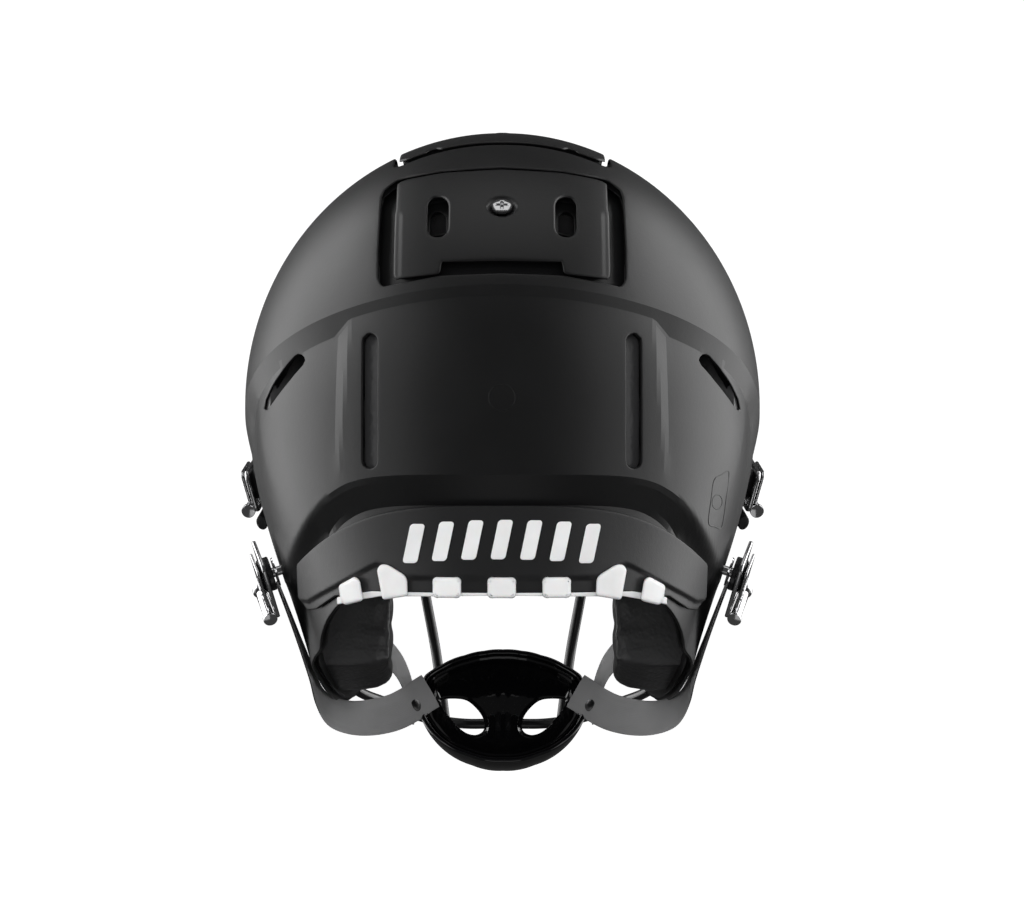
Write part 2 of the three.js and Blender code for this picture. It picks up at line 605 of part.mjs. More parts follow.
for (const [name, side] of SIDES) {
  add(`strap_rivet_${name}`, rivet(side), CHROME);
  for (const [place, spot] of Object.entries(STUDS)) {
    add(`strap_${place}_${name}`, strap(place, side), WEBBING);
    add(`snap_stud_${place}_${name}`, turned(STUD, studFrame(spot, side), 8), CHROME);
    add(`buckle_${place}_${name}`, buckle(spot, side), CHROME);
    add(`cam_lever_${place}_${name}`, camLever(spot, side), CHROME);
  }
  add(`strap_roll_high_${name}`, rolledEnd(side), RUBBER);
}

export default helmet;
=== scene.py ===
import math

import bmesh
import bpy
import numpy as np
from bpy.props import FloatProperty, FloatVectorProperty, IntProperty, PointerProperty
from mathutils import Matrix, Vector


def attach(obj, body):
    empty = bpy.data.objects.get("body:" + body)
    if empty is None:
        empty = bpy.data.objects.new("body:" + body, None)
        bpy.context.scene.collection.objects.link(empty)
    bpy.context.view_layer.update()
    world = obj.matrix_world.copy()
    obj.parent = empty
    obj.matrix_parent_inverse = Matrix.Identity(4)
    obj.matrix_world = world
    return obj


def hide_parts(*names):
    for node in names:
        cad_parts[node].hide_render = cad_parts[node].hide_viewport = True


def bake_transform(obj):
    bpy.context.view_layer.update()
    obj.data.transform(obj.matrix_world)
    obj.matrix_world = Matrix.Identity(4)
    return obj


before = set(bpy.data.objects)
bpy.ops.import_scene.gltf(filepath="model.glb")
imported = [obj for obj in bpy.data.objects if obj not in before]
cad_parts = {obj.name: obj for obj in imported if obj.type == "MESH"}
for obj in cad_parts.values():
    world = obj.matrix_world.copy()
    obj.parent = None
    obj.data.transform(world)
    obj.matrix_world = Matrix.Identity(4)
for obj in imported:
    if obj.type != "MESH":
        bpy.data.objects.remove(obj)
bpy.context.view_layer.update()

bl_info = {
    "name": "Football helmet",
    "version": (1, 0, 0),
    "blender": (4, 5, 0),
    "location": "View3D > Sidebar > Helmet",
    "description": "Builds a matte black American football helmet around its fixed frame",
    "category": "Add Mesh",
}

# Shapes are worked out in millimetres and scaled once, as each piece is finished.
MM = 0.001
POWER = 2.12  # how square the shell's level sections are; 2 would be an ellipse
HALF_WIDTH = 125.7
HALF_LENGTH = 150.0
CROWN = 133.0
FLOOR = 170.0
FACET_OUT = 78.8  # how far from the middle the rear panel's flat facets end
NECK_LINE = -33.0
SIDES = (("left", 1), ("right", -1))
STUDS = {
    "high": {"at": (117.756, -46, -36), "out": (0.9584, -0.218, -0.1844), "up": (0.2449, 0.2954, 0.9235)},
    "low": {"at": (108.784, 26, -80), "out": (0.9447, 0.0986, -0.3127), "up": (0.1991, 0.5853, 0.786)},
}
CLIP = {"at": (99.693, -88, -48), "out": (0.8647, -0.467, -0.1851), "up": (0.1629, -0.088, 0.9827)}
HINGE = {"y": -135, "z": 60, "x": 45}


# ---- Numbers ----
def ramp(t):
    return np.clip(t, 0.0, 1.0)


def smooth(t):
    c = ramp(t)
    return c * c * (3 - 2 * c)


def warp(value, stops, targets):
    """Moves a value from one set of stops to another, in straight lines between them."""
    moved = targets[0] + 0 * value
    for low, high, a, b in zip(stops, stops[1:], targets, targets[1:]):
        moved = moved + (b - a) * ramp((value - low) / (high - low))
    return moved


def rounded_box(x, y, half_x, half_y, radius):
    """Signed distance outside a rounded rectangle."""
    dx = np.abs(x) - half_x + radius
    dy = np.abs(y) - half_y + radius
    outside = np.hypot(np.maximum(dx, 0), np.maximum(dy, 0))
    return outside + np.minimum(np.maximum(dx, dy), 0) - radius


def line_distance(x, y, points):
    """Distance from a line drawn through points."""
    nearest = np.full(np.shape(x), 1e9)
    for (ax, ay), (bx, by) in zip(points, points[1:]):
        dx, dy = bx - ax, by - ay
        t = ramp(((x - ax) * dx + (y - ay) * dy) / (dx * dx + dy * dy))
        nearest = np.minimum(nearest, np.hypot(x - ax - t * dx, y - ay - t * dy))
    return nearest


def inside_distance(x, y, points):
    """Signed distance inside a closed outline, positive within it."""
    loop = list(points) + [points[0]]
    within = np.zeros(np.shape(x), bool)
    for (ax, ay), (bx, by) in zip(loop, loop[1:]):
        if ay != by:
            crosses = (ay > y) != (by > y)
            within ^= crosses & (x < (bx - ax) * (y - ay) / (by - ay) + ax)
    return np.where(within, 1, -1) * line_distance(x, y, loop)


def softened(loop):
    """A closed outline with its corners cut back twice."""
    for _ in range(2):
        sides = list(zip(loop, loop[1:] + loop[:1]))
        loop = [(a[0] + t * (b[0] - a[0]), a[1] + t * (b[1] - a[1])) for a, b in sides for t in (0.25, 0.75)]
    return loop


def bezier(a, b, c, d, steps=12):
    """Points along a cubic curve, without its first."""
    spots = []
    for i in range(1, steps + 1):
        t = i / steps
        weights = ((1 - t) ** 3, 3 * t * (1 - t) ** 2, 3 * t * t * (1 - t), t**3)
        spots.append(tuple(sum(w * p[k] for w, p in zip(weights, (a, b, c, d))) for k in (0, 1)))
    return spots


# ---- The shell's surface ----
def half_width(z):
    return HALF_WIDTH - 36 * smooth((-z - 7) / 160)


def taper(z):
    return np.sqrt(np.maximum(1 - (np.maximum(z, 0) / CROWN) ** 2, 0))


def ridge(turn):
    return 54 - 80 * np.minimum(np.abs(turn) / math.radians(100), 1) ** 2


def neck_line(x):
    return NECK_LINE - 45 * np.minimum(1.3, np.abs(x) / 105) ** 6


def facet_in(z):
    return 71 + 5.8 * (40 - np.clip(z, -39, 60)) / 79


def beyond_facet(x, z):
    return ramp((np.abs(x) - facet_in(z)) / (FACET_OUT - facet_in(z)))


def band(x, z, turn):
    """Height of the sloping step under the ridge."""
    return 4.5 + 5 * beyond_facet(x, z) + 4 * smooth((np.abs(turn) / math.radians(100) - 0.58) / 0.25)


def relief(x, y, z, turn):
    """How far the surface is sunk below the plain dome."""
    below = ridge(turn) - z
    fade = 1 - smooth((np.abs(turn) / math.radians(100) - 0.95) / 0.35)
    middle = 1.8 * ramp(below / band(x, z, turn))
    around = smooth((np.abs(turn) / math.radians(100) - 0.6) / 0.2) * ramp((z + 90) / 70)
    deep = np.maximum(ramp((z + 39) / 75), around)
    sides = 2.6 * beyond_facet(x, z) * deep * ramp(below / band(x, z, turn))
    tuck = 6 * ramp((neck_line(x) - z) / 14) * smooth(y / 40)
    return (middle + sides * smooth(y / 34)) * fade + tuck


def shell_point(turn, z, inset):
    """The point of the shell's surface at a turn from the back and a height, some way below its outside."""
    sx, sy = np.sin(turn), np.cos(turn)
    ring = taper(z) * (np.abs(sx) ** POWER + np.abs(sy) ** POWER) ** (-1 / POWER)
    wide = half_width(z)
    sunk = inset + relief(wide * ring * sx, HALF_LENGTH * ring * sy, z, turn)
    lift = np.where(z > 0, (CROWN - sunk) / CROWN, 1)
    return np.stack([(wide - sunk) * ring * sx, (HALF_LENGTH - sunk) * ring * sy, z * lift], -1)


def rear_point(x, z, inset):
    """The point of the shell's back at an x and a height."""
    wide = half_width(z) * taper(z)
    plain = HALF_LENGTH * taper(z) * np.maximum(1 - np.abs(x / wide) ** POWER, 0) ** (1 / POWER)
    sunk = inset + relief(x, plain, z, np.arctan2(x, plain))
    share = np.abs(x) / (wide - sunk * taper(z))
    y = (HALF_LENGTH - sunk) * taper(z) * np.maximum(1 - share**POWER, 0) ** (1 / POWER)
    return np.stack([x, y, np.where(z > 0, z * (CROWN - sunk) / CROWN, z)], -1)


def side_point(y, z, inset, side):
    """The point of the shell's side at a y and a height."""
    wide = half_width(z) * taper(z)
    length = (HALF_LENGTH - inset) * taper(z)
    x = (wide - inset * taper(z)) * np.maximum(1 - np.abs(y / length) ** POWER, 0) ** (1 / POWER)
    return np.stack([side * x, y, np.where(z > 0, z * (CROWN - inset) / CROWN, z)], -1)


def top_point(x, y, inset):
    """The point of the crown above an x and a y."""
    share = np.abs(x / (HALF_WIDTH - inset)) ** POWER + np.abs(y / (HALF_LENGTH - inset)) ** POWER
    z = (CROWN - inset) * np.sqrt(np.maximum(1 - share ** (2 / POWER), 0))
    return np.stack([x, y, z], -1)


def front_point(x, z, inset):
    """The point of the brow at an x and a height."""
    wide = (half_width(z) - inset) * taper(z)
    y = -(HALF_LENGTH - inset) * taper(z) * np.maximum(1 - np.abs(x / wide) ** POWER, 0) ** (1 / POWER)
    return np.stack([x, y, np.where(z > 0, z * (CROWN - inset) / CROWN, z)], -1)


# ---- Meshes ----
def placed(at, out, up, side=1):
    """A matrix whose Z looks outwards at a point; side -1 mirrors the place."""
    flip = Vector((side, 1, 1))
    w = (Vector(out) * flip).normalized()
    u = (Vector(up) * flip).cross(w).normalized()
    v = w.cross(u)
    return Matrix.Translation(Vector(at) * flip) @ Matrix((u, v, w)).transposed().to_4x4()


def positions(bm):
    return np.array([v.co for v in bm.verts], float).reshape(-1, 3)


def move_to(bm, points):
    for vert, point in zip(bm.verts, points):
        vert.co = point


def grid(low, high, step):
    """A flat sheet of squares between two corners."""
    bm = bmesh.new()
    across = max(2, round((high[0] - low[0]) / step))
    along = max(2, round((high[1] - low[1]) / step))
    bmesh.ops.create_grid(bm, x_segments=across, y_segments=along, size=0.5)
    middle = Vector(((low[0] + high[0]) / 2, (low[1] + high[1]) / 2, 0))
    size = Vector((high[0] - low[0], high[1] - low[1], 1))
    bmesh.ops.scale(bm, vec=size, verts=bm.verts)
    bmesh.ops.translate(bm, vec=middle, verts=bm.verts)
    return bm


def carve(bm, keep):
    """Cuts away what lies where keep is negative: the nearest points slide onto the cut first."""
    values = keep(positions(bm))
    bm.verts.index_update()
    moves = {}
    for edge in bm.edges:
        a, b = edge.verts
        ga, gb = values[a.index], values[b.index]
        if ga * gb >= 0:
            continue
        t = ga / (ga - gb)
        nearer, other, share = (a, b, t) if t < 0.5 else (b, a, 1 - t)
        if nearer.index not in moves or share < moves[nearer.index][0]:
            moves[nearer.index] = (share, nearer, nearer.co.lerp(other.co, share))
    for index, (_, vert, target) in moves.items():
        vert.co = target
        values[index] = 0.0
    edge_verts = [vert for _, vert, _ in moves.values()]
    faces = {f for v in edge_verts for f in v.link_faces}
    mixed = [f for f in faces if min(values[v.index] for v in f.verts) < 0]
    split = {v for f in mixed for v in f.verts if values[v.index] == 0}
    bmesh.ops.connect_verts(bm, verts=list(split))
    gone = [f for f in bm.faces if min(values[v.index] for v in f.verts) < 0]
    bmesh.ops.delete(bm, geom=gone, context="FACES")
    drop_loose(bm)
    bmesh.ops.dissolve_degenerate(bm, dist=0.05, edges=bm.edges)


def drop_loose(bm):
    """Deletes the points that no face holds."""
    bmesh.ops.delete(bm, geom=[v for v in bm.verts if not v.link_faces], context="VERTS")


def thicken(bm, rise):
    """Joins a flat sheet to a copy of itself above it."""
    copy = bmesh.ops.extrude_face_region(bm, geom=bm.faces[:], use_keep_orig=True)
    raised = [g for g in copy["geom"] if isinstance(g, bmesh.types.BMVert)]
    bmesh.ops.translate(bm, vec=(0, 0, rise), verts=raised)


def bevelled(bm, edges, width, segments=3):
    bmesh.ops.bevel(bm, geom=edges, offset=width, affect="EDGES", segments=segments, profile=0.5, material=-1)


def end_edges(bm):
    """The edges round the two ends of a round bar."""
    return [e for f in bm.faces if len(f.verts) > 4 for e in f.edges]


def face_away(bm, middle=(0, 0, 0)):
    """Turns a sheet's faces away from a point."""
    bmesh.ops.recalc_face_normals(bm, faces=bm.faces)
    middle = Vector(middle)
    if sum(f.normal.dot(f.calc_center_median() - middle) * f.calc_area() for f in bm.faces) < 0:
        bmesh.ops.reverse_faces(bm, faces=bm.faces[:])


def roll_rim(bm, width, depth, middle=(0, 0, 0), rings=3):
    """Carries the open rim outwards and down in a small round, against the surface's normal."""
    bm.normal_update()
    leans = {}
    for edge in [e for e in bm.edges if e.is_boundary]:
        face = edge.link_faces[0]
        away = (edge.verts[1].co - edge.verts[0].co).cross(face.normal).normalized()
        if away.dot(face.calc_center_median() - edge.verts[0].co) > 0:
            away.negate()
        for vert in edge.verts:
            leans.setdefault(vert, []).append((away, face.normal.copy()))
    starts = {}
    for vert, pairs in leans.items():
        away, normal = (sum((p[k] for p in pairs), Vector()).normalized() for k in (0, 1))
        starts[vert] = (vert.co.copy(), away, normal)
    for ring in range(1, rings + 1):
        angle = math.pi / 2 * ring / rings
        made = bmesh.ops.extrude_edge_only(bm, edges=[e for e in bm.edges if e.is_boundary])
        following = {}
        for vert in [g for g in made["geom"] if isinstance(g, bmesh.types.BMVert)]:
            source = next(e.other_vert(vert) for e in vert.link_edges if e.other_vert(vert) in starts)
            at, away, normal = following[vert] = starts[source]
            vert.co = at + away * width * math.sin(angle) - normal * depth * (1 - math.cos(angle))
        starts = following
    face_away(bm, middle)


def crease(bm, angle):
    """Marks the folds on the back as sharp, except low on the sides where they fade."""
    for edge in bm.edges:
        at = edge.verts[0].co
        clear = (abs(at.x) < 82 or at.z > -28) and at.y > 24
        if clear and len(edge.link_faces) == 2 and edge.calc_face_angle() > math.radians(angle):
            edge.smooth = False


def turned(profile, steps=40):
    """A turned solid from a profile of (radius, height) that starts and ends on the axis."""
    bm = bmesh.new()
    verts = [bm.verts.new((r, 0, h)) for r, h in profile]
    edges = [bm.edges.new(pair) for pair in zip(verts, verts[1:])]
    bmesh.ops.spin(
        bm, geom=verts + edges, axis=(0, 0, 1), cent=(0, 0, 0), angle=math.tau, steps=steps, use_merge=True
    )
    bmesh.ops.remove_doubles(bm, verts=bm.verts, dist=1e-4)
    bmesh.ops.recalc_face_normals(bm, faces=bm.faces)
    return bm


def slab(outline, low, high, bevel, segments=3):
    """A flat outline given a thickness, with its edges rounded."""
    bm = bmesh.new()
    bm.faces.new([bm.verts.new((x, y, low)) for x, y in outline])
    thicken(bm, high - low)
    bmesh.ops.recalc_face_normals(bm, faces=bm.faces)
    bevelled(bm, bm.edges[:], bevel, segments)
    return bm


def rounded(half_x, half_y, radius, x=0.0, y=0.0, steps=6):
    """The outline of a rounded rectangle."""
    spots = []
    for quarter, (sx, sy) in enumerate(((1, 1), (-1, 1), (-1, -1), (1, -1))):
        for i in range(steps + 1):
            a = (quarter + i / steps) * math.pi / 2
            corner = (x + sx * (half_x - radius), y + sy * (half_y - radius))
            spots.append((corner[0] + radius * math.cos(a), corner[1] + radius * math.sin(a)))
    return spots


def curve_through(points, samples):
    """Evenly numbered points of a smooth curve through the given ones."""
    spots = [Vector(p) for p in points]
    spots = [2 * spots[0] - spots[1]] + spots + [2 * spots[-1] - spots[-2]]
    out = []
    for i in range(samples + 1):
        place = i / samples * (len(points) - 1)
        k = min(int(place), len(points) - 2)
        t = place - k
        a, b, c, d = spots[k : k + 4]
        square, cube = 2 * a - 5 * b + 4 * c - d, 3 * b - a - 3 * c + d
        out.append(0.5 * (2 * b + (c - a) * t + square * t**2 + cube * t**3))
    return out


def tube(points, radius, samples=90, sides=16):
    """A round bar along a smooth curve, with domed ends."""
    path = curve_through(points, samples)
    bm = bmesh.new()
    bmesh.ops.create_cone(bm, cap_ends=True, segments=sides, radius1=radius, radius2=radius, depth=1)
    bmesh.ops.transform(bm, matrix=Matrix.Translation((0, 0, 0.5)), verts=bm.verts)
    sides_edges = [e for e in bm.edges if abs(e.verts[0].co.z - e.verts[1].co.z) > 0.5]
    bmesh.ops.subdivide_edges(bm, edges=sides_edges, cuts=samples - 1)
    ring_up = Vector((0.02, 0.05, 1))
    frames = []
    for i, at in enumerate(path):
        along = (path[min(i + 1, samples)] - path[max(i - 1, 0)]).normalized()
        across = ring_up.cross(along).normalized()
        ring_up = along.cross(across)
        frames.append((at, across, ring_up.copy()))
    for vert in bm.verts:
        at, across, up = frames[round(vert.co.z * samples)]
        vert.co = at + across * vert.co.x + up * vert.co.y
    bevelled(bm, end_edges(bm), radius * 0.6)
    bmesh.ops.recalc_face_normals(bm, faces=bm.faces)
    return bm


STRAP_STEPS = 240


def ribbon(stops, width, start, end):
    """A stretch of flat strap with rounded edges and two seams.

    Each stop is a point and the way the strap's face looks there.
    """
    path = curve_through([s[0] for s in stops], STRAP_STEPS)
    faces = curve_through([s[1] for s in stops], STRAP_STEPS)
    length = sum((b - a).length for a, b in zip(path, path[1:])) * (end - start)
    bm = bmesh.new()
    bmesh.ops.create_grid(bm, x_segments=max(8, int(length / 2.2)), y_segments=14, size=0.5)
    uv = bm.loops.layers.uv.new("strap")
    thicken(bm, 1)
    for loop in [loop for face in bm.faces for loop in face.loops]:
        at = loop.vert.co
        loop[uv].uv = ((at.x + 0.5) * length, at.y * width + 100 * at.z)
    for vert in bm.verts:
        place = (start + (vert.co.x + 0.5) * (end - start)) * STRAP_STEPS
        k = min(int(place), STRAP_STEPS - 1)
        at = path[k].lerp(path[k + 1], place - k)
        along = (path[min(k + 2, STRAP_STEPS)] - path[max(k - 1, 0)]).normalized()
        across = faces[k].lerp(faces[k + 1], place - k).cross(along).normalized()
        half = 0.12 + 0.85 * (1 - abs(2 * vert.co.y) ** 6) ** 0.5
        stitch = 0.28 * math.exp(-(((abs(vert.co.y) - 0.36) / 0.05) ** 2))
        rise = (half - stitch) * (2 * vert.co.z - 1)
        vert.co = at + across * (vert.co.y * width) + along.cross(across) * rise
    bmesh.ops.recalc_face_normals(bm, faces=bm.faces)
    return bm


def joined(bm, other, matrix=None):
    """Adds another mesh to bm, moved by a matrix."""
    mesh = bpy.data.meshes.new("joining")
    if matrix is not None:
        bmesh.ops.transform(other, matrix=matrix, verts=other.verts)
    other.to_mesh(mesh)
    other.free()
    bm.from_mesh(mesh)
    bpy.data.meshes.remove(mesh)
    return bm


def piece(bm, name, finish, body, replaces=(), wall=0.0, sharp=40, matrix=None):
    """Finishes a mesh as one piece in a named finish, riding on a body."""
    finishes()
    if matrix is not None:
        bmesh.ops.transform(bm, matrix=matrix, verts=bm.verts)
    bmesh.ops.scale(bm, vec=(MM, MM, MM), verts=bm.verts)
    mesh = bpy.data.meshes.new(name)
    bm.to_mesh(mesh)
    bm.free()
    mesh.shade_smooth()
    if sharp:
        mesh.set_sharp_from_angle(angle=math.radians(sharp))
    obj = bpy.data.objects.new(name, mesh)
    bpy.context.scene.collection.objects.link(obj)
    mesh.materials.append(bpy.data.materials[finish])
    if wall:
        solid = obj.modifiers.new("Wall", "SOLIDIFY")
        solid.thickness = wall * MM
        solid.offset = -1
        weighted = obj.modifiers.new("Normals", "WEIGHTED_NORMAL")
        weighted.keep_sharp = True
    if body:
        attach(obj, body)
    if replaces:
        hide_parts(*replaces)
    return obj


# ---- Finishes ----
class Value:
    """A shader socket that takes part in Python expressions."""

    def __init__(self, finish, socket):
        self.finish = finish
        self.socket = socket

    def math(self, operation, other=0.0, flipped=False):
        first, second = (other, self) if flipped else (self, other)
        return self.finish.node("ShaderNodeMath", {"operation": operation}, {0: first, 1: second})

    def __add__(self, other):
        return self.math("ADD", other)

    __radd__ = __add__

    def __sub__(self, other):
        return self.math("SUBTRACT", other)

    def __rsub__(self, other):
        return self.math("SUBTRACT", other, True)

    def __mul__(self, other):
        return self.math("MULTIPLY", other)

    __rmul__ = __mul__

    def above(self, level, soft):
        """0 below a level and 1 above it, with a soft step between."""
        settings = {"interpolation_type": "SMOOTHSTEP"}
        return self.finish.node("ShaderNodeMapRange", settings, {0: self, 1: level - soft, 2: level + soft})


class Finish:
    """A material under construction."""

    def __init__(self, name, **constants):
        self.material = bpy.data.materials.new(name)
        self.material.use_nodes = True
        self.tree = self.material.node_tree
        self.shader = self.tree.nodes["Principled BSDF"]
        for socket, value in constants.items():
            self.set(socket.replace("_", " "), value)

    def node(self, kind, settings, sockets, output=0):
        made = self.tree.nodes.new(kind)
        for key, value in settings.items():
            setattr(made, key, value)
        for key, value in sockets.items():
            self.feed(made.inputs[key], value)
        return Value(self, made.outputs[output])

    def feed(self, socket, value):
        if isinstance(value, Value):
            self.tree.links.new(value.socket, socket)
        else:
            socket.default_value = value

    def set(self, name, value):
        self.feed(self.shader.inputs[name], value)

    def coordinates(self, scale=(1, 1, 1)):
        place = self.node("ShaderNodeTexCoord", {}, {}, "Object")
        return self.node("ShaderNodeMapping", {}, {"Vector": place, "Scale": scale})

    def noise(self, scale, detail=3.0, stretch=(1, 1, 1), roughness=0.55):
        place = self.coordinates(stretch)
        sockets = {"Vector": place, "Scale": scale, "Detail": detail, "Roughness": roughness}
        return self.node("ShaderNodeTexNoise", {}, sockets)

    def colours(self, mask, low, high):
        sockets = {0: mask, 6: (*low, 1), 7: (*high, 1)}
        return self.node("ShaderNodeMix", {"data_type": "RGBA"}, sockets, 2)

    def bump(self, height, distance, strength=1.0):
        sockets = {"Strength": strength, "Distance": distance, "Height": height}
        self.set("Normal", self.node("ShaderNodeBump", {}, sockets))


def shade(colour, share):
    return tuple(c * share for c in colour)


def moulded(name, colour, rough, grain=0.00005, **constants):
    """Matte moulded plastic: a faint orange peel, fine grain and uneven polish."""
    finish = Finish(name, **constants)
    mottle = finish.noise(38, 4)
    fine = finish.noise(1600, 2)
    finish.set("Base Color", finish.colours(mottle, shade(colour, 0.82), shade(colour, 1.2)))
    finish.set("Roughness", rough - 0.05 + mottle * 0.07 + fine * 0.03)
    finish.bump(fine * 0.5 + finish.noise(420, 2) * 0.6, grain)
    return finish.material


def glossy(name, colour, rough):
    """Polished plastic with the faintest waviness and a few rubbed patches."""
    finish = Finish(name, Coat_Roughness=0.04, Specular_IOR_Level=0.55)
    wave = finish.noise(55, 2)
    rubbed = finish.noise(260, 5, (1, 1, 0.3)).above(0.66, 0.08)
    finish.set("Base Color", finish.colours(wave, shade(colour, 0.8), shade(colour, 1.3)))
    finish.set("Roughness", rough + rubbed * 0.10 + wave * 0.03)
    finish.set("Coat Weight", 0.5 - rubbed * 0.3)
    finish.bump(wave, 0.00012)
    return finish.material


def metal(name, colour, rough):
    """Plated metal with fine handling marks."""
    finish = Finish(name, Metallic=1.0)
    smears = finish.noise(180, 4, (1, 1, 0.25))
    marks = finish.noise(400, 2, (0.1, 1, 1)).above(0.64, 0.06)
    finish.set("Base Color", finish.colours(smears, shade(colour, 0.9), colour))
    finish.set("Roughness", rough + smears * 0.06 + marks * 0.08)
    return finish.material


def vinyl(name, colour, rough):
    """Soft vinyl over foam: a pebble grain with creases, their low folds painted darker as shade."""
    finish = Finish(name, Specular_IOR_Level=0.5)
    pebble = finish.node(
        "ShaderNodeTexVoronoi", {"feature": "SMOOTH_F1"}, {"Vector": finish.coordinates(), "Scale": 520}
    )
    crease = finish.noise(28, 4)
    # The crease noise varies the tone across the pad and paints shade into the low folds of the crease bump.
    finish.set("Base Color", finish.colours(crease, shade(colour, 0.7), shade(colour, 1.4)))
    finish.set("Roughness", rough + pebble * 0.10 - crease * 0.06)
    finish.bump(pebble * 0.35 + crease * 1.6 + finish.noise(90, 3) * 0.5, 0.0005)
    return finish.material


def woven(name, colour, rough):
    """Coated webbing: fine ribs along the strap's own map, under a worn coat."""
    finish = Finish(name, Specular_IOR_Level=0.5)
    place = finish.node("ShaderNodeUVMap", {"uv_map": "strap"}, {})
    waves = []
    for way, scale in (("X", 0.42), ("Y", 0.36)):
        sockets = {"Vector": place, "Scale": scale, "Distortion": 0.3}
        waves.append(finish.node("ShaderNodeTexWave", {"bands_direction": way}, sockets))
    worn = finish.noise(60, 4)
    across = finish.node("ShaderNodeSeparateXYZ", {}, {"Vector": place}, "Y")
    outer = across.above(50, 5)
    inner = finish.colours(worn, shade(colour, 0.85), shade(colour, 1.1))
    sockets = {0: outer, 6: inner, 7: (*shade(colour, 0.05), 1)}
    finish.set("Base Color", finish.node("ShaderNodeMix", {"data_type": "RGBA"}, sockets, 2))
    finish.set("Roughness", rough + 0.15 + worn * 0.12 - outer * 0.3)
    finish.bump(waves[0] * waves[1] * 0.7 + worn * 0.3, 0.00006)
    return finish.material


def finishes():
    """The helmet's materials, made once and kept by name."""
    if "Shell plastic" in bpy.data.materials:
        return
    look = bpy.context.scene.helmet_look
    moulded("Shell plastic", look.shell, look.shell_roughness)
    moulded("Plate plastic", shade(look.shell, 0.9), look.shell_roughness + 0.02)
    moulded("Bumper rubber", look.rubber, 0.44, 0.00008)
    moulded("White plastic", look.white, 0.42, 0.00003, Subsurface_Weight=0.08, Subsurface_Scale=0.002)
    glossy("Gloss plastic", look.gloss, 0.07)
    glossy("Coated wire", look.wire, 0.3)
    metal("Chrome", look.chrome, 0.10)
    vinyl("Pad vinyl", look.padding, 0.34)
    woven("Webbing", look.webbing, 0.33)


# ---- Outlines ----
def shell_outline():
    """What the shell keeps, seen from its left side as (y, z): crown, brow, jaw flap and neck edge."""
    points = [(-170, 40), (-118, 40)]
    points += bezier((-118, 40), (-100, 38), (-90, 22), (-90, 2))
    points += bezier((-90, 2), (-90, -20), (-98, -38), (-103, -58))
    points += bezier((-103, -58), (-109, -80), (-112, -104), (-104, -126))
    points += bezier((-104, -126), (-99, -142), (-88, -149), (-72, -149))
    points += bezier((-72, -149), (-48, -149), (-20, -136), (20, -122))
    points += bezier((20, -122), (60, -112), (96, -90), (122, -84))
    return points + [(170, -83), (170, 150), (-170, 150)]


SLOT = {"x": 60.6, "z": 0.8, "half_x": 3.3, "half_z": 31}
VENT = [(112.3, -1.5), (109, 3.5), (104.5, 9.8), (99.8, 15.5), (95, 20.3)]
EAR = {"y": -14, "z": -58, "half_y": 14, "half_z": 20}
REAR_POCKET = [
    (0, 59.5), (29, 58.5), (45, 55.6), (55, 53.8), (57, 56.4), (57.4, 70), (56.9, 98),
    (55.4, 102), (51.6, 104), (50.4, 105.6), (45.5, 107), (28, 109.6), (0, 111),
]
FRONT_POCKET = {"half_x": 52, "half_y": 57, "y": -3.6}


def mirrored_outline(half):
    return list(half) + [(-x, z) for x, z in reversed(half) if x > 0]


def within(outline, spare=0):
    """A test that is positive inside an outline, or up to a little way outside it."""
    return lambda p: inside_distance(p[:, 0], p[:, 1], outline) + spare


def shell_keep(points):
    """Positive on the shell's material: its outline less its openings."""
    x, y, z = points.T
    keep = inside_distance(y, z, shell_outline())
    back = y > 30
    half = SLOT["half_x"]
    slots = rounded_box(np.abs(x) - SLOT["x"], z - SLOT["z"], half, SLOT["half_z"], half)
    vents = line_distance(np.abs(x), z, VENT) - 0.8 - 1.8 * ramp((z + 4) / 14)
    rear = -inside_distance(x, z, mirrored_outline(REAR_POCKET))
    for cut in (slots, vents, rear):
        keep = np.where(back, np.minimum(keep, cut), keep)
    ears = rounded_box(y - EAR["y"], z - EAR["z"], EAR["half_y"], EAR["half_z"], 11)
    keep = np.minimum(keep, ears)
    front = rounded_box(x, y - FRONT_POCKET["y"], FRONT_POCKET["half_x"], FRONT_POCKET["half_y"], 7)
    return np.where(z > 60, np.minimum(keep, front), keep)


ROWS = (0.0, 56 / 160, 59 / 160, 96 / 160, 101 / 160, 1.0)
COLUMNS = (0.0, 38 / 180, 42 / 180, 0.5, 1.0)


